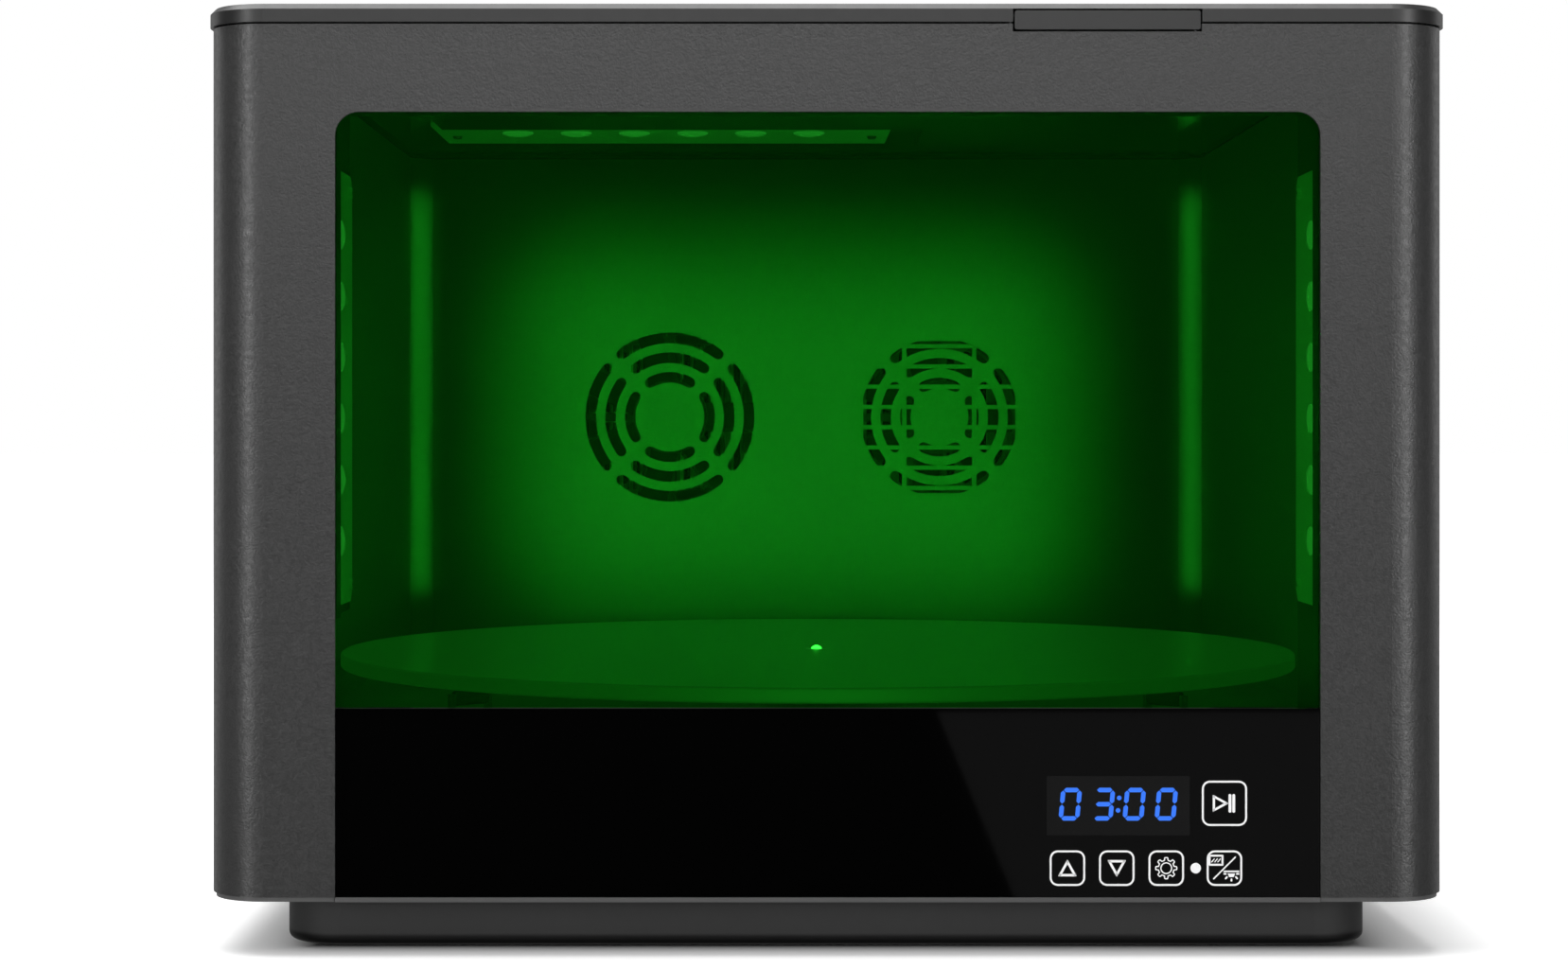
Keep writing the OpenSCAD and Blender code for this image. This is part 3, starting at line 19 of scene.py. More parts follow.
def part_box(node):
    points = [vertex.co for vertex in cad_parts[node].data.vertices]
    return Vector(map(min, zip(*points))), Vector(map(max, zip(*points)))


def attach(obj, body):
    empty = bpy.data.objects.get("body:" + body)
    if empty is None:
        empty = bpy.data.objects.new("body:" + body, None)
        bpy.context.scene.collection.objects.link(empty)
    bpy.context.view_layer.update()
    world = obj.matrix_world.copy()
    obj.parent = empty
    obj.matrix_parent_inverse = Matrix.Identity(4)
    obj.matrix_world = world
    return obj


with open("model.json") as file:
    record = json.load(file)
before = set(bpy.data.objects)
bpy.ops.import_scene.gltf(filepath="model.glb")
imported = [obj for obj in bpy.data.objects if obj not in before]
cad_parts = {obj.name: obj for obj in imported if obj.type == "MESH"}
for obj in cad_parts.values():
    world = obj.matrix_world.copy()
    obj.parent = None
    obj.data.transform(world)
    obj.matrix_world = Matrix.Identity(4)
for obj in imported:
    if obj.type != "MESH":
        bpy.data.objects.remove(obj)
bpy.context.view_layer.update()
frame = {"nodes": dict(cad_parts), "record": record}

LOG = logging.getLogger("curing_unit")
Colour = tuple[float, float, float, float]
Point = tuple[float, float, float]
Spot = tuple[float, float]

PHOTO_W, PHOTO_H = 1657, 1024
MM = 0.001


def photo_x(pixel: float) -> float:
    """Turn a photo column into X on the unit's front face.

    Args:
        pixel: Column in the photo's own frame.

    Returns:
        X in metres.
    """
    return (pixel - FrontView.middle_column) * FrontView.scale


def photo_z(pixel: float) -> float:
    """Turn a photo row into Z on the unit's front face.

    Args:
        pixel: Row in the photo's own frame.

    Returns:
        Z in metres.
    """
    return FrontView.eye_height + (FrontView.eye_row - pixel) * FrontView.scale


class FrontView:
    """How the photo's pixels map to the plane of the unit's front face."""

    middle_column = 874.7
    eye_column = 800.0
    eye_row = 454.0
    eye_height = 0.1767
    scale = 0.31673 * MM
    distance = 1.020
    lens_mm = 70.0
    sensor_mm = 36.0


# Finishes


class ShaderGraph:
    """A material's node tree, with short calls to add and link nodes."""

    def __init__(self, name: str) -> None:
        """Start a material that holds a Principled shader and an output."""
        self.material = bpy.data.materials.new(name)
        self.material.use_nodes = True
        self.tree = self.material.node_tree
        self.shader = self.tree.nodes["Principled BSDF"]
        self.coords = self.tree.nodes.new("ShaderNodeTexCoord")

    def add(self, kind: str, **values: object) -> bpy.types.Node:
        """Add a node.

        Args:
            kind: Node type without its ShaderNode prefix.
            values: Attributes, or socket defaults by name with underscores for spaces.

        Returns:
            The new node.
        """
        node = self.tree.nodes.new("ShaderNode" + kind)
        for key, value in values.items():
            if hasattr(node, key):
                setattr(node, key, value)
            else:
                node.inputs[key.replace("_", " ")].default_value = value
        return node

    def link(self, source: bpy.types.NodeSocket, target: bpy.types.NodeSocket) -> None:
        """Join an output socket to an input socket."""
        self.tree.links.new(source, target)

    def place(self, scale: Sequence[float] = (1.0, 1.0, 1.0)) -> bpy.types.NodeSocket:
        """Return Object coordinates, scaled per axis.

        Args:
            scale: Factors along X, Y and Z.

        Returns:
            The mapped coordinates.
        """
        mapping = self.add("Mapping")
        mapping.inputs["Scale"].default_value = scale
        self.link(self.coords.outputs["Object"], mapping.inputs["Vector"])
        return mapping.outputs["Vector"]

    def noise(self, scale: float, detail: float = 2.0, stretch: Sequence[float] = (1.0, 1.0, 1.0),
              roughness: float = 0.5) -> bpy.types.NodeSocket:
        """Add a noise pattern.

        Args:
            scale: Features per metre.
            detail: Octaves of finer noise.
            stretch: Factors along X, Y and Z, for grain.
            roughness: Strength of the finer octaves.

        Returns:
            The noise factor.
        """
        node = self.add("TexNoise")
        node.inputs["Scale"].default_value = scale
        node.inputs["Detail"].default_value = detail
        node.inputs["Roughness"].default_value = roughness
        self.link(self.place(stretch), node.inputs["Vector"])
        return node.outputs["Fac"]

    def spread(self, factor: bpy.types.NodeSocket, low: float, high: float, start: float = 0.3,
               end: float = 0.7) -> bpy.types.NodeSocket:
        """Map a pattern's middle range to a range of values.

        Args:
            factor: The pattern.
            low: Value at and under start.
            high: Value at and over end.
            start: Pattern value that gives low.
            end: Pattern value that gives high.

        Returns:
            The mapped value.
        """
        node = self.add("MapRange")
        for name, value in (("From Min", start), ("From Max", end), ("To Min", low), ("To Max", high)):
            node.inputs[name].default_value = value
        self.link(factor, node.inputs["Value"])
        return node.outputs["Result"]

    def tones(self, factor: bpy.types.NodeSocket, dark: Colour, light: Colour, start: float = 0.3,
              end: float = 0.7) -> bpy.types.NodeSocket:
        """Blend two colours by a pattern.

        Args:
            factor: The pattern.
            dark: Colour at and under start.
            light: Colour at and over end.
            start: Pattern value that gives the dark colour.
            end: Pattern value that gives the light colour.

        Returns:
            The blended colour.
        """
        ramp = self.add("ValToRGB")
        ramp.color_ramp.elements[0].position = start
        ramp.color_ramp.elements[0].color = dark
        ramp.color_ramp.elements[1].position = end
        ramp.color_ramp.elements[1].color = light
        self.link(factor, ramp.inputs["Fac"])
        return ramp.outputs["Color"]

    def bump(self, height: bpy.types.NodeSocket, strength: float, depth: float,
             under: bpy.types.NodeSocket | None = None) -> bpy.types.NodeSocket:
        """Add a bump and feed it to the shader.

        Args:
            height: The height pattern.
            strength: How much of the bump shows.
            depth: Height of the pattern in metres.
            under: Normal that this bump adds to.

        Returns:
            The bumped normal.
        """
        node = self.add("Bump")
        node.inputs["Strength"].default_value = strength
        node.inputs["Distance"].default_value = depth
        self.link(height, node.inputs["Height"])
        if under is not None:
            self.link(under, node.inputs["Normal"])
        self.link(node.outputs["Normal"], self.shader.inputs["Normal"])
        return node.outputs["Normal"]

    def set(self, **values: object) -> None:
        """Set constants on the shader's own sockets, underscores standing for spaces."""
        for key, value in values.items():
            self.shader.inputs[key.replace("_", " ")].default_value = value


def grey(value: float) -> Colour:
    """Make a neutral colour.

    Args:
        value: Linear brightness.

    Returns:
        The colour with full alpha.
    """
    return (value, value, value, 1.0)


@dataclass(frozen=True)
class SandPaint:
    """Powder coat with a fine sand texture."""

    name: str
    tone: float
    contrast: float = 0.16
    grain: float = 1500.0
    depth: float = 0.00016
    roughness: float = 0.42
    specular: float = 0.8

    def build(self) -> bpy.types.Material:
        """Return the material."""
        graph = ShaderGraph(self.name)
        fine = graph.noise(self.grain, detail=1.5)
        broad = graph.noise(self.grain * 0.35, detail=2.0)
        dark, light = grey(self.tone * (1 - self.contrast)), grey(self.tone * (1 + self.contrast))
        graph.link(graph.tones(fine, dark, light, 0.36, 0.64), graph.shader.inputs["Base Color"])
        rough = graph.spread(broad, self.roughness - 0.06, self.roughness + 0.08)
        graph.link(rough, graph.shader.inputs["Roughness"])
        first = graph.bump(fine, 0.55, self.depth)
        graph.bump(broad, 0.3, self.depth * 1.5, first)
        graph.set(Specular_IOR_Level=self.specular)
        return graph.material


@dataclass(frozen=True)
class SmoothPaint:
    """Smooth satin paint with faint orange peel, and an optional painted shade that darkens it towards the
    bottom.
    """

    name: str
    tone: float
    roughness: float = 0.38
    peel: float = 260.0
    specular: float = 0.45
    painted_shade_top: float = 0.0

    def build(self) -> bpy.types.Material:
        """Return the material."""
        graph = ShaderGraph(self.name)
        peel = graph.noise(self.peel, detail=1.0)
        cloud = graph.noise(14.0, detail=3.0)
        tone = graph.tones(cloud, grey(self.tone * 0.96), grey(self.tone * 1.04))
        # Painted shade: the base colour darkens to 5 % over the 1.2 mm below this height and stays so lower
        # down, standing for shade under the foot.
        if self.painted_shade_top > 0:
            height = graph.add("SeparateXYZ")
            graph.link(graph.coords.outputs["Object"], height.inputs["Vector"])
            lit = graph.add("VectorMath", operation="SCALE")
            graph.link(tone, lit.inputs["Vector"])
            shade = graph.spread(height.outputs["Z"], 0.05, 1.0, self.painted_shade_top - 1.2 * MM, self.painted_shade_top)
            graph.link(shade, lit.inputs["Scale"])
            tone = lit.outputs["Vector"]
        graph.link(tone, graph.shader.inputs["Base Color"])
        rough = graph.spread(peel, self.roughness - 0.02, self.roughness + 0.02)
        graph.link(rough, graph.shader.inputs["Roughness"])
        graph.bump(peel, 0.12, 0.00006)
        graph.set(Specular_IOR_Level=self.specular)
        return graph.material


@dataclass(frozen=True)
class BrightSheet:
    """Rolled bright sheet with faint lengthwise grain."""

    name: str
    tone: float
    roughness: float
    metallic: float = 0.85
    grain: Sequence[float] = (0.04, 0.04, 1.0)
    tint: Sequence[float] = (1.0, 1.0, 1.0)

    def build(self) -> bpy.types.Material:
        """Return the material."""
        graph = ShaderGraph(self.name)
        streak = graph.noise(900.0, detail=2.0, stretch=self.grain)
        cloud = graph.noise(9.0, detail=3.0)
        low = tuple(self.tone * 0.95 * c for c in self.tint) + (1.0,)
        high = tuple(self.tone * 1.03 * c for c in self.tint) + (1.0,)
        graph.link(graph.tones(cloud, low, high), graph.shader.inputs["Base Color"])
        rough = graph.spread(streak, self.roughness * 0.93, self.roughness * 1.07)
        graph.link(rough, graph.shader.inputs["Roughness"])
        graph.bump(streak, 0.02, 0.00001)
        graph.set(Metallic=self.metallic)
        return graph.material


@dataclass(frozen=True)
class TintedPane:
    """Clear tinted sheet with a faint haze of its own colour."""

    name: str
    colour: Colour
    haze: float = 0.04

    def build(self) -> bpy.types.Material:
        """Return the material."""
        graph = ShaderGraph(self.name)
        graph.set(Base_Color=self.colour, Transmission_Weight=1.0 - self.haze, IOR=1.3, Roughness=0.0,
                  Specular_IOR_Level=0.25)
        wave = graph.noise(3.0, detail=1.0)
        graph.bump(wave, 0.02, 0.0002)
        return graph.material


@dataclass(frozen=True)
class Gloss:
    """Glossy moulded or polished piece, with a faint waviness and an optional painted glow in its emission.
    """

    name: str
    colour: Colour
    roughness: float = 0.12
    specular: float = 0.5
    metallic: float = 0.0
    coat: float = 0.0
    wave: float = 0.03
    glow: float = 0.0
    vary: float = 0.1

    def build(self) -> bpy.types.Material:
        """Return the material."""
        graph = ShaderGraph(self.name)
        wave = graph.noise(25.0, detail=2.0)
        dark = tuple(c * (1 - 0.4 * self.vary) for c in self.colour[:3]) + (1.0,)
        graph.link(graph.tones(wave, dark, self.colour), graph.shader.inputs["Base Color"])
        low, high = self.roughness * (1 - self.vary), self.roughness * (1 + self.vary)
        graph.link(graph.spread(wave, low, high), graph.shader.inputs["Roughness"])
        if self.wave > 0:
            graph.bump(wave, self.wave, 0.0001)
        # Painted glow: a nonzero glow makes a piece that is no lamp give light.
        graph.set(Specular_IOR_Level=self.specular, Metallic=self.metallic, Coat_Weight=self.coat,
                  Coat_Roughness=0.03, Emission_Color=self.colour, Emission_Strength=self.glow)
        return graph.material


@dataclass(frozen=True)
class Moulded:
    """Matt moulded plastic or rubber with a fine spark-eroded texture."""

    name: str
    tone: float
    roughness: float = 0.6
    grain: float = 1800.0

    def build(self) -> bpy.types.Material:
        """Return the material."""
        graph = ShaderGraph(self.name)
        fine = graph.noise(self.grain, detail=1.0)
        cloud = graph.noise(40.0, detail=2.0)
        tone = graph.tones(cloud, grey(self.tone * 0.9), grey(self.tone * 1.1))
        graph.link(tone, graph.shader.inputs["Base Color"])
        rough = graph.spread(fine, self.roughness - 0.06, self.roughness + 0.06)
        graph.link(rough, graph.shader.inputs["Roughness"])
        graph.bump(fine, 0.2, 0.00008)
        return graph.material


@dataclass(frozen=True)
class BrushedMetal:
    """Plated or brushed steel, with streaks along X."""

    name: str
    tone: float
    roughness: float = 0.34
    tint: Sequence[float] = (1.0, 1.0, 1.0)

    def build(self) -> bpy.types.Material:
        """Return the material."""
        graph = ShaderGraph(self.name)
        streak = graph.noise(2200.0, detail=2.0, stretch=(0.05, 1.0, 1.0))
        low = tuple(self.tone * 0.88 * c for c in self.tint) + (1.0,)
        high = tuple(self.tone * 1.08 * c for c in self.tint) + (1.0,)
        graph.link(graph.tones(streak, low, high), graph.shader.inputs["Base Color"])
        rough = graph.spread(streak, self.roughness - 0.06, self.roughness + 0.1)
        graph.link(rough, graph.shader.inputs["Roughness"])
        graph.bump(streak, 0.1, 0.00004)
        graph.set(Metallic=1.0)
        return graph.material


@dataclass(frozen=True)
class Ink:
    """Printed or lit marking with an even tone of its own; also used for a painted glow on a piece that is no
    lamp.
    """

    name: str
    colour: Colour
    glow: float = 0.0
    painted_glow_above: float = 0.0

    def build(self) -> bpy.types.Material:
        """Return the material."""
        graph = ShaderGraph(self.name)
        speck = graph.noise(4000.0, detail=1.0)
        dark = tuple(c * 0.93 for c in self.colour[:3]) + (1.0,)
        graph.link(graph.tones(speck, dark, self.colour), graph.shader.inputs["Base Color"])
        graph.set(Roughness=0.5, Emission_Color=self.colour, Emission_Strength=self.glow)
        # Painted glow: the emission is cut off below this height and reaches full strength above it.
        if self.painted_glow_above > 0:
            height = graph.add("SeparateXYZ")
            graph.link(graph.coords.outputs["Object"], height.inputs["Vector"])
            lit = graph.spread(height.outputs["Z"], 0.0, self.glow, self.painted_glow_above - 0.2 * MM, self.painted_glow_above)
            graph.link(lit, graph.shader.inputs["Emission Strength"])
        return graph.material


@dataclass(frozen=True)
class Lens:
    """Clear moulded lens that glows faintly from its emitter."""

    name: str
    colour: Colour
    glow: float

    def build(self) -> bpy.types.Material:
        """Return the material."""
        graph = ShaderGraph(self.name)
        swirl = graph.noise(600.0, detail=1.0)
        graph.link(graph.spread(swirl, 0.04, 0.1), graph.shader.inputs["Roughness"])
        graph.set(Base_Color=self.colour, IOR=1.41, Emission_Color=self.colour, Emission_Strength=self.glow,
                  Coat_Weight=0.4)
        return graph.material


class Look(Enum):
    """The record's material slots, each with the finish that shows it."""

    SHELL = "shell_paint"
    LID = "lid_paint"
    BASE = "base_paint"
    LIP = "lip_paint"
    WINDOW = "window_tint"
    CONTROL = "control_glass"
    FRAME = "frame_dark"
    LINER = "liner_bright"
    COVER = "cover_dark"
    BOARD = "lamp_board"
    LENS = "lens_clear"
    SEAL = "seal_rubber"
    FOOT = "foot_rubber"
    PLASTIC = "black_plastic"
    STEEL = "plain_steel"
    GREEN_BOARD = "board_green"
    DISPLAY = "display_block"
    BRASS = "sensor_brass"
    STATUS = "status_white"
    DISC = "disc_gloss"
    PIN = "pin_white"
    ROCKER = "rocker_black"


FINISHES = {
    Look.SHELL: SandPaint("shell sand paint", 0.032, roughness=0.36),
    Look.LID: SmoothPaint("lid smooth paint", 0.0155, specular=0.8),
    # Painted shade: the base paint is darkened near the floor, below 6.6 mm.
    Look.BASE: SmoothPaint("base matt paint", 0.028, roughness=0.6, painted_shade_top=6.6 * MM),
    Look.LIP: SmoothPaint("lip paint", 0.085),
    Look.WINDOW: TintedPane("green window", (0.0145, 0.6, 0.021, 1.0), 0.018),
    Look.CONTROL: Gloss("black control glass", grey(0.0008), roughness=0.04, specular=0.5),
    Look.FRAME: SmoothPaint("dark frame paint", 0.03, roughness=0.45),
    Look.LINER: BrightSheet("chamber bright sheet", 0.27, 0.4, metallic=0.1),
    Look.COVER: Gloss("dark gloss cover", grey(0.018), roughness=0.08, specular=0.6),
    # The lamp board's mask is no lamp: its emission is a painted glow.
    Look.BOARD: Gloss("lamp board mask with painted glow", (0.84, 0.78, 0.84, 1.0), roughness=0.35, glow=0.08),
    Look.LENS: Lens("lamp lens", (0.95, 0.62, 0.95, 1.0), 0.42),
    Look.SEAL: Moulded("seal rubber", 0.012, roughness=0.8),
    Look.FOOT: Moulded("foot rubber", 0.012, roughness=0.75),
    Look.PLASTIC: Moulded("black moulded plastic", 0.014),
    Look.STEEL: BrushedMetal("plain steel", 0.45),
    Look.GREEN_BOARD: Gloss("green board mask", (0.012, 0.1, 0.04, 1.0), roughness=0.3),
    Look.DISPLAY: Gloss("display block face", grey(0.006), roughness=0.2),
    Look.BRASS: BrushedMetal("sensor brass", 0.6, tint=(1.0, 0.78, 0.4)),
    Look.STATUS: Ink("white print", grey(0.8), 0.15),
    # The disc is no lamp: its emission is a painted glow that brightens its top.
    Look.DISC: Gloss("disc gloss with painted glow", grey(0.3), roughness=0.3, specular=0.4, wave=0.0, glow=0.17, vary=0.01),
    # The pin is no lamp: its strong emission above the disc top is a painted glow.
    Look.PIN: Ink("pin with painted glow", grey(0.9), 6.5, painted_glow_above=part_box("turntable_disc")[1].z),
    Look.ROCKER: Gloss("rocker gloss black", grey(0.01), roughness=0.15),
}


class Finishes:
    """Builds each finish once and puts it on pieces."""

    def __init__(self) -> None:
        """Build every finish of the table."""
        self.materials = {look: finish.build() for look, finish in FINISHES.items()}

    def dress(self, obj: bpy.types.Object, look: Look) -> None:
        """Put a finish on an object's only slot.

        Args:
            obj: The object.
            look: The finish.
        """
        obj.data.materials.clear()
        obj.data.materials.append(self.materials[look])

    def dress_frame(self) -> None:
        """Put the record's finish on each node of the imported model."""
        slots = {row["node"]: row["material_slot"] for row in frame["record"]["subparts"]}
        for name, node in frame["nodes"].items():
            self.dress(node, Look(slots[name]))


# Modelling tools


def clear_selection() -> None:
    """Leave edit mode and deselect every object."""
    if bpy.context.object and bpy.context.object.mode != "OBJECT":
        bpy.ops.object.mode_set(mode="OBJECT")
    bpy.ops.object.select_all(action="DESELECT")


def activate(obj: bpy.types.Object) -> None:
    """Select one object alone and make it active."""
    clear_selection()
    obj.select_set(True)
    bpy.context.view_layer.objects.active = obj


def settle(obj: bpy.types.Object) -> bpy.types.Object:
    """Apply an object's place, turn and scale to its mesh.

    Args:
        obj: The object.

    Returns:
        The same object.
    """
    activate(obj)
    bpy.ops.object.transform_apply(location=True, rotation=True, scale=True)
    return obj


def join(pieces: Sequence[bpy.types.Object], name: str) -> bpy.types.Object:
    """Join settled pieces into one object.

    Args:
        pieces: The pieces.
        name: Name of the joined object.

    Returns:
        The joined object.
    """
    clear_selection()
    for piece in pieces:
        piece.select_set(True)
    bpy.context.view_layer.objects.active = pieces[0]
    if len(pieces) > 1:
        bpy.ops.object.join()
    pieces[0].name = name
    return settle(pieces[0])


class FlatMark:
    """Flat printed marks on an upright face, built lying down and then stood up."""

    def __init__(self, front: float, thickness: float = 0.05 * MM) -> None:
        """Keep the plane that the marks stand on.

        Args:
            front: Y of the face that carries the marks.
            thickness: Height of the print.
        """
        self.front = front
        self.thickness = thickness

    def _raise(self, obj: bpy.types.Object, x: float, z: float) -> bpy.types.Object:
        """Give a lying outline its thickness, stand it up and put it in place."""
        activate(obj)
        bpy.ops.object.mode_set(mode="EDIT")
        bpy.ops.mesh.select_all(action="SELECT")
        bpy.ops.mesh.extrude_region_move(TRANSFORM_OT_translate={"value": (0, 0, self.thickness)})
        bpy.ops.mesh.select_all(action="SELECT")
        bpy.ops.mesh.normals_make_consistent(inside=False)
        bpy.ops.object.mode_set(mode="OBJECT")
        obj.data.transform(Matrix.Translation((x, self.front, z)) @ Matrix.Rotation(math.pi / 2, 4, "X"))
        return obj

    def polygon(self, corners: Sequence[Spot], x: float = 0.0, z: float = 0.0) -> bpy.types.Object:
        """Make a filled outline.

        Args:
            corners: Outline about the mark's own middle, across and up.
            x: Place of the middle across.
            z: Place of the middle upwards.

        Returns:
            The mark.
        """
        clear_selection()
        bpy.ops.mesh.primitive_circle_add(vertices=len(corners), radius=1.0, fill_type="NGON")
        obj = bpy.context.object
        for vertex, (across, up) in zip(obj.data.vertices, corners):
            vertex.co = (across, up, 0)
        return self._raise(obj, x, z)

    def band(self, corners: Sequence[Spot], width: float, x: float = 0.0, z: float = 0.0) -> bpy.types.Object:
        """Make a closed line of even width inside an outline.

        Args:
            corners: Outer outline about the mark's own middle.
            width: Width of the line.
            x: Place of the middle across.
            z: Place of the middle upwards.

        Returns:
            The mark.
        """
        clear_selection()
        bpy.ops.mesh.primitive_circle_add(vertices=len(corners), radius=1.0, fill_type="NGON")
        obj = bpy.context.object
        for vertex, (across, up) in zip(obj.data.vertices, corners):
            vertex.co = (across, up, 0)
        activate(obj)
        bpy.ops.object.mode_set(mode="EDIT")
        bpy.ops.mesh.select_all(action="SELECT")
        bpy.ops.mesh.inset(thickness=width, depth=0, use_even_offset=True)
        bpy.ops.mesh.delete(type="ONLY_FACE")
        bpy.ops.object.mode_set(mode="OBJECT")
        return self._raise(obj, x, z)

    def bar(self, start: tuple[float, float], end: tuple[float, float], width: float, x: float = 0.0,
            z: float = 0.0) -> bpy.types.Object:
        """Make a straight bar with round ends.

        Args:
            start: One end of the bar's middle line.
            end: The other end.
            width: Width of the bar.
            x: Place of the mark's middle across.
            z: Place of the mark's middle upwards.

        Returns:
            The mark.
        """
        return self.polygon(capsule(start, end, width / 2), x, z)


def circle(radius: float, count: int) -> list[Spot]:
    """List the corners of a circle round the origin, counted from its right end."""
    turns = [2 * math.pi * i / count for i in range(count)]
    return [(radius * math.cos(turn), radius * math.sin(turn)) for turn in turns]


def capsule(start: Spot, end: Spot, radius: float, steps: int = 5) -> list[Spot]:
    """Outline of a bar with round ends.

    Args:
        start: One end of the middle line.
        end: The other end.
        radius: Half the bar's width.
        steps: Segments of each round end.

    Returns:
        The outline, anticlockwise.
    """
    heading = math.atan2(end[1] - start[1], end[0] - start[0])
    outline = []
    for centre, first in ((end, heading - math.pi / 2), (start, heading + math.pi / 2)):
        for step in range(steps + 1):
            angle = first + math.pi * step / steps
            outline.append((centre[0] + radius * math.cos(angle), centre[1] + radius * math.sin(angle)))
    return outline


def rounded_box(width: float, height: float, radius: float, steps: int = 6) -> list[tuple[float, float]]:
    """Outline of a rectangle with round corners.

    Args:
        width: Size across.
        height: Size upwards.
        radius: Corner radius.
        steps: Segments of each corner.

    Returns:
        The outline, anticlockwise.
    """
    outline = []
    for turn, (sx, sy) in enumerate(((1, -1), (1, 1), (-1, 1), (-1, -1))):
        for step in range(steps + 1):
            angle = math.pi / 2 * (turn - 1 + step / steps)
            outline.append((sx * (width / 2 - radius) + radius * math.cos(angle),
                            sy * (height / 2 - radius) + radius * math.sin(angle)))
    return outline


def round_polygon(corners: Sequence[Spot], radius: float, steps: int = 4) -> list[Spot]:
    """Round a convex outline's corners.

    Args:
        corners: The sharp outline, anticlockwise.
        radius: Distance from each corner where its curve starts.
        steps: Segments of each curve.

    Returns:
        The rounded outline.
    """
    outline = []
    count = len(corners)
    for index, corner in enumerate(corners):
        here = Vector(corner)
        before = (Vector(corners[index - 1]) - here).normalized() * radius + here
        after = (Vector(corners[(index + 1) % count]) - here).normalized() * radius + here
        for step in range(steps + 1):
            share = step / steps
            point = before * (1 - share) ** 2 + here * 2 * share * (1 - share) + after * share ** 2
            outline.append((point.x, point.y))
    return outline


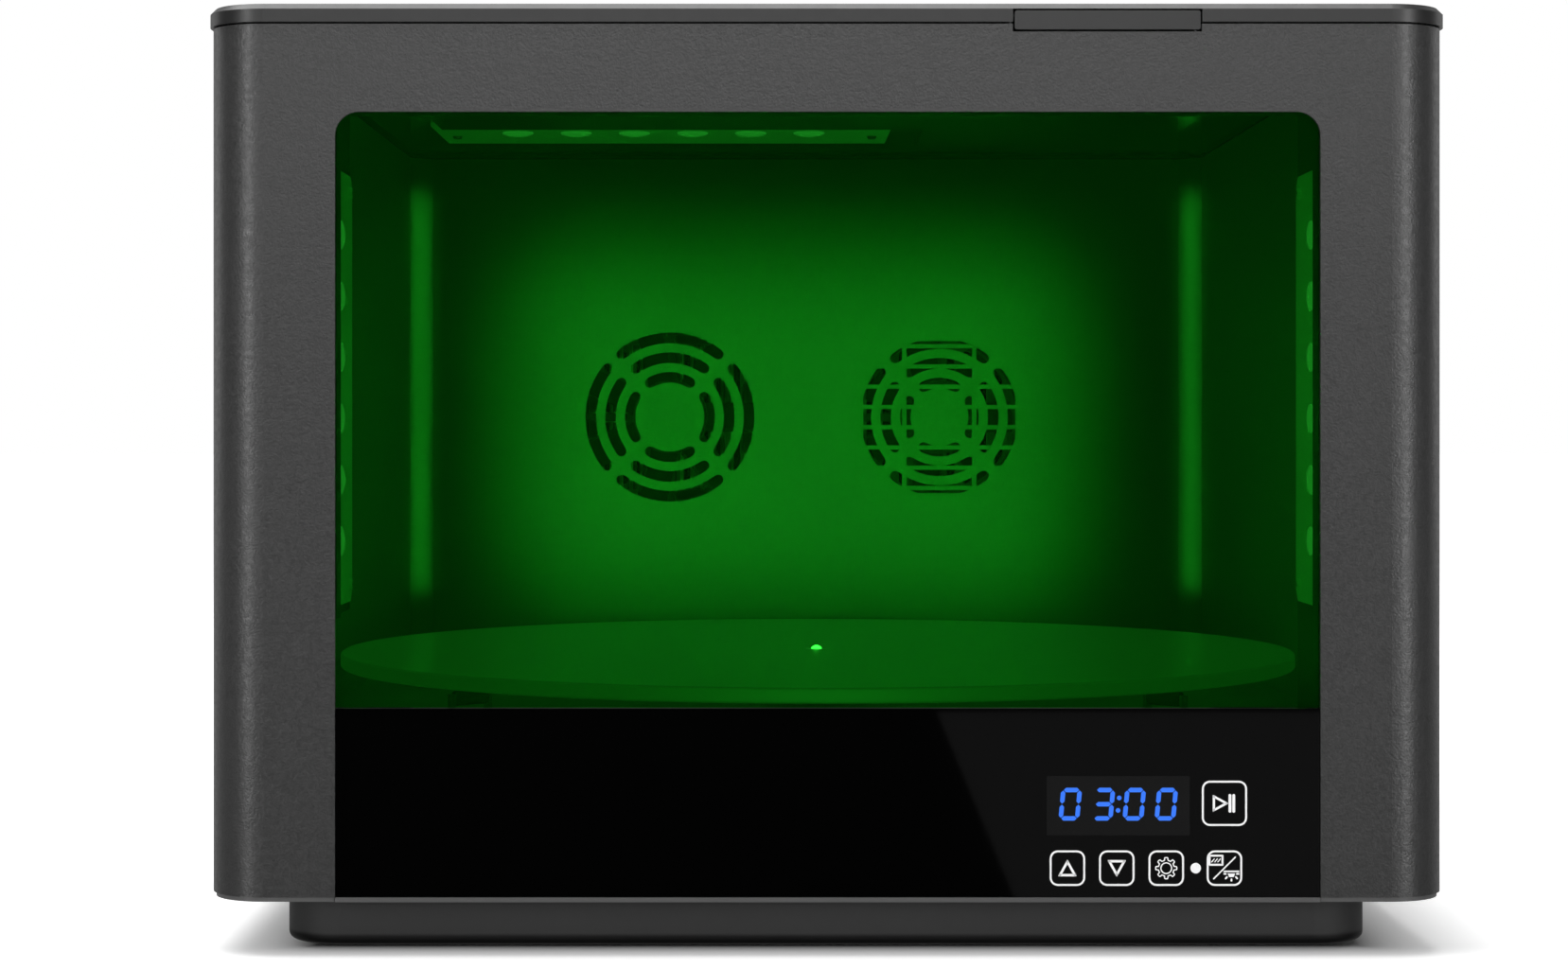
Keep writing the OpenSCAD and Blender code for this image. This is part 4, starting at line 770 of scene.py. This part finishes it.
@dataclass
class ControlPrint:
    """The printed keys, the display window and its digits, on the control glass."""

    finishes: Finishes
    line: float = 0.62 * MM
    key_size: float = 11.85 * MM
    key_radius: float = 2.7 * MM
    start_size: float = 15.1 * MM
    digit_height: float = 11.0 * MM
    digit_width: float = 7.0 * MM
    stroke: float = 1.5 * MM
    slant: float = 0.09
    low_row: float = 917.3
    front: float = field(init=False)

    def __post_init__(self) -> None:
        """Find the glass's front face."""
        self.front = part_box("control_glass")[0].y - 0.02 * MM
        self.mark = FlatMark(self.front)

    def _finish(self, pieces: Sequence[bpy.types.Object], name: str, look: Look) -> bpy.types.Object:
        """Join marks into one named piece that rides on the housing."""
        obj = join(pieces, name)
        self.finishes.dress(obj, look)
        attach(obj, "housing")
        LOG.info("%s: %d faces", name, len(obj.data.polygons))
        return obj

    def key(self, column: float, row: float, size: float) -> bpy.types.Object:
        """Make a key's rounded frame, centred on a photo pixel."""
        edge = rounded_box(size, size, self.key_radius)
        return self.mark.band(edge, self.line, photo_x(column), photo_z(row))

    def triangle(self, column: float, row: float, corners: Sequence[Spot], width: float) -> bpy.types.Object:
        """Make an outlined triangle, with corners in photo pixels about its middle."""
        points = [(x * FrontView.scale, y * FrontView.scale) for x, y in corners]
        return self.mark.band(round_polygon(points, 0.35 * MM, 2), width, photo_x(column), photo_z(row))

    def start_key(self) -> bpy.types.Object:
        """Make the start and pause key."""
        column, row = 1293.8, 848.8
        pieces = [self.key(column, row, self.start_size)]
        pieces.append(self.triangle(column, row, [(-12.4, -9.2), (4.6, 0.0), (-12.4, 9.2)], 0.75 * MM))
        for x in (5.8, 9.8):
            ends = [(x * FrontView.scale, s * 8.4 * FrontView.scale) for s in (-1, 1)]
            pieces.append(self.mark.bar(ends[0], ends[1], 0.95 * MM, photo_x(column), photo_z(row)))
        return self._finish(pieces, "key_start", Look.STATUS)

    def arrow_key(self, column: float, up: bool, name: str) -> bpy.types.Object:
        """Make the key with an arrow that points up or down."""
        corners = [(-10.0, -8.6), (10.0, -8.6), (0.0, 9.4)]
        if not up:
            corners = [(-x, -y) for x, y in corners]
        pieces = [self.key(column, self.low_row, self.key_size),
                  self.triangle(column, self.low_row, corners, 0.78 * MM)]
        return self._finish(pieces, name, Look.STATUS)

    def gear_key(self) -> bpy.types.Object:
        """Make the key with a gear of eight teeth round a ring."""
        column, teeth = 1232.3, 8
        outer, root = 3.72 * MM, 2.85 * MM
        outline = []
        for tooth in range(teeth):
            middle = 2 * math.pi * tooth / teeth
            for offset, radius in ((-0.27, root), (-0.19, outer * 0.97), (-0.08, outer), (0.08, outer),
                                   (0.19, outer * 0.97), (0.27, root)):
                angle = middle + offset
                outline.append((radius * math.cos(angle), radius * math.sin(angle)))
        ring = circle(1.98 * MM, 28)
        x, z = photo_x(column), photo_z(self.low_row)
        pieces = [self.key(column, self.low_row, self.key_size), self.mark.band(outline, 0.36 * MM, x, z),
                  self.mark.band(ring, 0.38 * MM, x, z)]
        return self._finish(pieces, "key_gear", Look.STATUS)

    def mode_key(self) -> bpy.types.Object:
        """Make the key that shows a panel, a slash and a lamp with rays."""
        column = 1293.8
        x, z = photo_x(column), photo_z(self.low_row)
        unit = FrontView.scale
        pieces = [self.key(column, self.low_row, self.key_size)]
        box = rounded_box(15.6 * unit, 11.6 * unit, 0.9 * unit, 2)
        panel = [(across - 8.9 * unit, up + 8.4 * unit) for across, up in box]
        pieces.append(self.mark.band(panel, 0.62 * MM, x, z))
        for shift in (-3.2, 0.0, 3.2):
            start = ((-10.2 + shift) * unit, 6.6 * unit)
            end = ((-7.6 + shift) * unit, 9.8 * unit)
            pieces.append(self.mark.bar(start, end, 0.32 * MM, x, z))
        low, high = (-11.4 * unit, -11.2 * unit), (11.4 * unit, 11.6 * unit)
        pieces.append(self.mark.bar(low, high, 0.45 * MM, x, z))
        pieces.append(self.mark.bar((-0.4 * unit, -3.4 * unit), (15.0 * unit, -3.4 * unit), 0.5 * MM, x, z))
        lamp = [(3.4, -5.6), (4.9, -9.4), (9.7, -9.4), (11.4, -5.6)]
        pieces.append(self.mark.polygon([(a * unit, b * unit) for a, b in lamp], x, z))
        for start, end in (((-0.2, -6.0), (1.4, -6.0)), ((13.2, -6.0), (14.8, -6.0)),
                           ((1.4, -10.8), (2.6, -9.4)),
                           ((13.4, -10.8), (12.2, -9.4)), ((7.4, -13.2), (7.4, -11.8))):
            low, high = (start[0] * unit, start[1] * unit), (end[0] * unit, end[1] * unit)
            pieces.append(self.mark.bar(low, high, 0.6 * MM, x, z))
        return self._finish(pieces, "key_mode", Look.STATUS)

    def status_dot(self) -> bpy.types.Object:
        """Make the round lamp mark between the last two keys."""
        radius, count = 1.75 * MM, 28
        disc = self.mark.polygon(circle(radius, count), photo_x(1263.4), photo_z(self.low_row))
        return self._finish([disc], "status_dot", Look.STATUS)


class Segment(Enum):
    """Segments of a digit by their usual letters: start and end corners, across and up."""

    A = ((0, 2), (1, 2))
    B = ((1, 2), (1, 1))
    C = ((1, 1), (1, 0))
    D = ((0, 0), (1, 0))
    E = ((0, 1), (0, 0))
    F = ((0, 2), (0, 1))
    G = ((0, 1), (1, 1))


DIGIT_SEGMENTS = {"0": "ABCDEF", "3": "ABCDG"}


@dataclass
class Display:
    """The lit digits and the faint window round them."""

    control: ControlPrint
    digits: str = "0300"
    columns: Sequence[float] = (1130.9, 1166.0, 1198.5, 1232.3)
    middle_row: float = 849.7
    colon_column: float = 1182.0
    gap: float = 0.16 * MM

    def segment(self, part: Segment, x: float) -> bpy.types.Object:
        """Make one bevelled segment of the digit centred on x."""
        control = self.control
        width, half = control.digit_width - control.stroke, (control.digit_height - control.stroke) / 2
        (ax, az), (bx, bz) = part.value
        start = Vector(((ax - 0.5) * width, (az - 1) * half))
        end = Vector(((bx - 0.5) * width, (bz - 1) * half))
        along = (end - start).normalized()
        side = Vector((-along.y, along.x)) * control.stroke / 2
        tip = along * (control.stroke / 2)
        inset = along * self.gap
        corners = [start + inset, start + inset + tip - side, end - inset - tip - side, end - inset,
                   end - inset - tip + side, start + inset + tip + side]
        slanted = [(p.x + p.y * control.slant, p.y) for p in corners]
        return control.mark.polygon(slanted, x, photo_z(self.middle_row))

    def build(self) -> None:
        """Make the window and the digits."""
        control = self.control
        window = control.mark.polygon(
            rounded_box(151 * FrontView.scale, 62.6 * FrontView.scale, 0.3 * MM, 2),
            photo_x(1181.5), photo_z(851.3))
        window.data.transform(Matrix.Translation((0, 0.03 * MM, 0)))
        control._finish([window], "display_window", Look.DISPLAY)
        lit = [self.segment(Segment[letter], photo_x(column))
               for column, digit in zip(self.columns, self.digits) for letter in DIGIT_SEGMENTS[digit]]
        for offset in (-6.6, 6.6):
            dot = circle(0.78 * MM, 16)
            rise = offset * FrontView.scale
            across = photo_x(self.colon_column) + rise * control.slant
            lit.append(control.mark.polygon(dot, across, photo_z(self.middle_row) + rise))
        obj = join(lit, "display_digits")
        obj.data.materials.append(Ink("blue digits", (0.004, 0.09, 0.52, 1.0), 1.0).build())
        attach(obj, "housing")


@dataclass
class ScrewCrosses:
    """Dark crosses on the heads of the visible screws: painted shade that stands for their cross recesses."""

    finishes: Finishes
    length: float = 2.3 * MM
    width: float = 0.62 * MM
    proud: float = 0.03 * MM
    depth: float = 0.1 * MM

    def heads(self, node: str) -> list[tuple[Vector, Vector]]:
        """Find each screw's box.

        Args:
            node: The node that holds the screws.

        Returns:
            The lowest and highest corner of each screw.
        """
        mesh = bmesh.new()
        mesh.from_mesh(frame["nodes"][node].data)
        bmesh.ops.remove_doubles(mesh, verts=mesh.verts, dist=0.02 * MM)
        boxes, seen = [], set()
        for start in mesh.verts:
            if start.index in seen:
                continue
            seen.add(start.index)
            island, edge = [], [start]
            while edge:
                vertex = edge.pop()
                island.append(vertex.co.copy())
                for link in vertex.link_edges:
                    other = link.other_vert(vertex)
                    if other.index not in seen:
                        seen.add(other.index)
                        edge.append(other)
            boxes.append((Vector(map(min, *island)), Vector(map(max, *island))))
        mesh.free()
        return boxes

    def cross(self, face: Vector, axis: int, turn: float) -> bpy.types.Object:
        """Make one cross on a head's face.

        Args:
            face: Middle of the head's face.
            axis: Axis that the face looks along: 0, 1 or 2.
            turn: Angle of the cross about that axis.

        Returns:
            The cross.
        """
        arms = []
        for angle in (turn, turn + math.pi / 2):
            clear_selection()
            bpy.ops.mesh.primitive_cube_add(size=1.0)
            arm = bpy.context.object
            sizes = [self.length, self.width]
            sizes.insert(axis, self.depth)
            arm.scale = sizes
            settle(arm)
            arm.rotation_euler[axis] = angle
            arm.location = face
            arms.append(settle(arm))
        return join(arms, "cross")

    def build(self, node: str, body: str, axis: int, inward: bool = False) -> None:
        """Put crosses on every screw of a node.

        Args:
            node: The node that holds the screws.
            body: The body that they ride on.
            axis: Axis that the heads look along.
            inward: Whether the heads look towards the unit's middle or down.
        """
        crosses = []
        for low, high in self.heads(node):
            face = (low + high) / 2
            up = face[axis] > 0 and not (inward and axis == 2)
            if inward and axis == 0:
                up = not up
            face[axis] = (high if up else low)[axis] + (1 if up else -1) * (self.proud - self.depth / 2)
            crosses.append(self.cross(face, axis, 1.7 * len(crosses)))
        obj = join(crosses, f"{node}_crosses")
        # Painted shade: the crosses are dark plates 0.03 mm proud of the heads, standing for the shade in the
        # recesses.
        self.finishes.dress(obj, Look.PLASTIC)
        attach(obj, body)
        LOG.info("%s: %d crosses", node, len(crosses))


@dataclass(frozen=True)
class SoftLight:
    """A rectangular soft light: where it hangs, where it points and what it reaches."""

    name: str
    size: tuple[float, float]
    place: Point
    aim: Point
    power: float
    spread: float = 180.0
    glossy: bool = True
    diffuse: bool = True
    colour: tuple[float, float, float] = (1.0, 1.0, 1.0)

    def hang(self) -> bpy.types.Object:
        """Add the light to the scene and return it."""
        data = bpy.data.lights.new(self.name, "AREA")
        data.shape = "RECTANGLE"
        data.size, data.size_y = self.size
        data.energy = self.power
        data.color = self.colour
        data.spread = math.radians(self.spread)
        light = bpy.data.objects.new(self.name, data)
        bpy.context.scene.collection.objects.link(light)
        light.location = self.place
        light.rotation_euler = (Vector(self.aim) - Vector(self.place)).to_track_quat("-Z", "Y").to_euler()
        light.visible_camera = light.visible_transmission = False
        light.visible_glossy = self.glossy
        light.visible_diffuse = self.diffuse
        return light


@dataclass
class Studio:
    """Floor, light and camera."""

    # Painted shadow round the foot, drawn in the floor's emission: its shift, inset, stretch, reach and
    # power.
    painted_shadow_shift: Point = (0.004, 0.0, 0.0)
    painted_shadow_inset: Point = (0.006, 0.014, 0.0)
    painted_shadow_stretch: Point = (0.75, 1.3, 0.0)
    painted_shadow_reach: float = 0.056
    painted_shadow_power: float = 0.9
    front: float = field(init=False)

    def __post_init__(self) -> None:
        """Find the shell's front face."""
        self.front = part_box("outer_shell")[0].y

    def floor(self) -> None:
        """Lay the pale floor, which fades to pure white away from the unit; the dark round the base is a
        painted shadow in its emission.
        """
        clear_selection()
        bpy.ops.mesh.primitive_plane_add(size=40.0, location=(0, 0, 0))
        floor = bpy.context.object
        floor.name = "studio_floor"
        graph = ShaderGraph("studio floor with painted shadow")
        cloud = graph.noise(2.0, detail=2.0)
        graph.link(graph.tones(cloud, grey(0.80), grey(0.84)), graph.shader.inputs["Base Color"])
        # Painted shadow: the emission grows with distance from the base pan's box, so the floor round the
        # foot stays dark.
        low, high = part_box("base_pan")
        centred = graph.add("VectorMath", operation="SUBTRACT")
        centred.inputs[1].default_value = (low + high) / 2 + Vector(self.painted_shadow_shift)
        graph.link(graph.place(), centred.inputs[0])
        outside = graph.add("VectorMath", operation="ABSOLUTE")
        graph.link(centred.outputs["Vector"], outside.inputs["Vector"])
        beyond = graph.add("VectorMath", operation="SUBTRACT")
        beyond.inputs[1].default_value = (high - low) / 2 - Vector(self.painted_shadow_inset)
        graph.link(outside.outputs["Vector"], beyond.inputs[0])
        kept = graph.add("VectorMath", operation="MAXIMUM")
        graph.link(beyond.outputs["Vector"], kept.inputs[0])
        flat = graph.add("VectorMath", operation="MULTIPLY")
        flat.inputs[1].default_value = self.painted_shadow_stretch
        graph.link(kept.outputs["Vector"], flat.inputs[0])
        length = graph.add("VectorMath", operation="LENGTH")
        graph.link(flat.outputs["Vector"], length.inputs["Vector"])
        reach = graph.add("Math", operation="POWER")
        reach.inputs[1].default_value = self.painted_shadow_power
        graph.link(graph.spread(length.outputs["Value"], 0.0, 1.0, 0.0, self.painted_shadow_reach), reach.inputs[0])
        graph.link(reach.outputs["Value"], graph.shader.inputs["Emission Strength"])
        graph.set(Roughness=0.9, Specular_IOR_Level=0.0, Emission_Color=grey(1.0))
        floor.data.materials.append(graph.material)
        floor.visible_glossy = floor.visible_transmission = False

    def outer_lights(self) -> None:
        """Hang the soft lights round the unit."""
        ahead = self.front
        middle = (0.0, ahead, 0.16)
        lights = [SoftLight("front_soft", (1.6, 1.2), (0.0, ahead - 2.1, 1.1), middle, 10.0),
                  SoftLight("low_soft", (1.2, 0.5), (0.0, ahead - 1.2, 0.15), middle, 3.0, glossy=False),
                  SoftLight("top_soft", (2.0, 2.0), (-0.35, 0.1, 2.0), (0, 0, 0.2), 46.0)]
        for side in (-1, 1):
            name = "left" if side < 0 else "right"
            lights.append(SoftLight(f"strip_{name}", (0.36, 1.4), (side * 1.42, ahead - 1.45, 0.42), middle,
                                    9.0 + 0.4 * side, diffuse=False))
            lights.append(SoftLight(f"rim_{name}", (0.8, 1.8), (side * 1.9, 0.9, 0.9),
                                    (side * 0.2, 0, 0.16), 2.5))
        for light in lights:
            light.hang()

    def inner_lights(self) -> None:
        """Hang the lights that stand for the beam through the window."""
        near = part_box("front_window")[1].y + 6 * MM
        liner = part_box("chamber_liner")
        back = liner[1].y
        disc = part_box("turntable_disc")
        middle = (disc[0] + disc[1]) / 2
        SoftLight("chamber_beam", (0.252, 0.152), (-0.006, near, 0.180), (-0.006, back, 0.177), 0.106,
                  spread=15.0, glossy=False).hang()
        SoftLight("chamber_fill", (0.24, 0.14), (0.04, near, 0.18), (0.05, back, 0.17), 0.007,
                  glossy=False).hang()
        SoftLight("disc_glow", (0.36, 0.36), (0, middle.y, 0.298), tuple(middle), 0.052, spread=100.0,
                  glossy=False, colour=(1.0, 0.8, 1.0)).hang()
        edge = near - 5.4 * MM
        SoftLight("edge_glow", (0.32, 0.007), (0, edge, middle.z), (0, back, middle.z), 0.004,
                  glossy=False).hang()
        for side in (-1, 1):
            name = "left" if side < 0 else "right"
            facet_x = side * (liner[1].x - 6 * MM)
            SoftLight(f"facet_{name}", (0.006, 0.19), (side * 0.10, back - 0.09, 0.195),
                      (facet_x, back - 6 * MM, 0.195), 0.0055, spread=10.0, glossy=False).hang()

    def card(self) -> None:
        """Stand a dim card in front, whose slanted edge shows in the black glass."""
        away = 0.5
        clear_selection()
        bpy.ops.mesh.primitive_plane_add(size=1.0)
        card = bpy.context.object
        card.name = "dim_card"
        corners = [(106 * MM, -60 * MM), (420 * MM, -60 * MM), (66 * MM, 36 * MM), (420 * MM, 36 * MM)]
        for vertex, (x, z) in zip(card.data.vertices, corners):
            vertex.co = (x, self.front - away, z)
        graph = ShaderGraph("dim card")
        graph.set(Base_Color=grey(0.0), Specular_IOR_Level=0.0, Emission_Color=grey(1.0),
                  Emission_Strength=0.12)
        card.data.materials.append(graph.material)
        card.visible_camera = card.visible_diffuse = card.visible_shadow = card.visible_transmission = False

    def world(self) -> None:
        """Give a white background, dark ahead of the unit and bright behind it for other rays."""
        world = bpy.data.worlds.new("studio")
        bpy.context.scene.world = world
        world.use_nodes = True
        tree = world.node_tree
        back = tree.nodes["Background"]
        coords = tree.nodes.new("ShaderNodeTexCoord")
        split = tree.nodes.new("ShaderNodeSeparateXYZ")
        ramp = tree.nodes.new("ShaderNodeMapRange")
        path = tree.nodes.new("ShaderNodeLightPath")
        through = tree.nodes.new("ShaderNodeMath")
        through.operation = "SUBTRACT"
        through.inputs[0].default_value = 1.0
        tree.links.new(path.outputs["Is Transmission Ray"], through.inputs[1])
        kept = tree.nodes.new("ShaderNodeMath")
        kept.operation = "MULTIPLY"
        mix = tree.nodes.new("ShaderNodeMix")
        mix.data_type = "FLOAT"
        for name, value in (("From Min", 0.1), ("From Max", 0.8), ("To Min", 0.0), ("To Max", 0.4)):
            ramp.inputs[name].default_value = value
        tree.links.new(coords.outputs["Generated"], split.inputs["Vector"])
        tree.links.new(split.outputs["Y"], ramp.inputs["Value"])
        tree.links.new(path.outputs["Is Camera Ray"], mix.inputs["Factor"])
        tree.links.new(ramp.outputs["Result"], kept.inputs[0])
        tree.links.new(through.outputs["Value"], kept.inputs[1])
        tree.links.new(kept.outputs["Value"], mix.inputs["A"])
        mix.inputs["B"].default_value = 1.0
        tree.links.new(mix.outputs["Result"], back.inputs["Color"])
        bpy.context.scene.view_settings.view_transform = "Standard"

    def camera(self) -> None:
        """Set the camera where the photo was taken."""
        data = bpy.data.cameras.new("camera")
        data.lens = FrontView.lens_mm
        data.sensor_width = FrontView.sensor_mm
        data.shift_x = (PHOTO_W / 2 - FrontView.eye_column) / PHOTO_W
        data.shift_y = (FrontView.eye_row - PHOTO_H / 2) / PHOTO_W
        data.dof.use_dof = False
        camera = bpy.data.objects.new("camera", data)
        bpy.context.scene.collection.objects.link(camera)
        camera.location = (photo_x(FrontView.eye_column), self.front - FrontView.distance,
                           FrontView.eye_height)
        camera.rotation_euler = (math.pi / 2, 0, 0)
        bpy.context.scene.camera = camera

    def build(self) -> None:
        """Set up the whole studio."""
        self.camera()
        self.world()
        self.floor()
        self.outer_lights()
        self.inner_lights()
        self.card()


def main() -> None:
    """Build the studio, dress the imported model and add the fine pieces."""
    logging.basicConfig(level=logging.INFO, format="%(name)s: %(message)s")
    Studio().build()
    finishes = Finishes()
    finishes.dress_frame()
    control = ControlPrint(finishes)
    control.start_key()
    control.arrow_key(1127.9, True, "key_up")
    control.arrow_key(1180.0, False, "key_down")
    control.gear_key()
    control.mode_key()
    control.status_dot()
    Display(control).build()
    crosses = ScrewCrosses(finishes)
    crosses.build("rear_screws", "housing", 1)
    crosses.build("side_board_screws", "housing", 0, inward=True)
    crosses.build("top_board_screws", "lid", 2, inward=True)


if __name__ == "__main__":
    main()
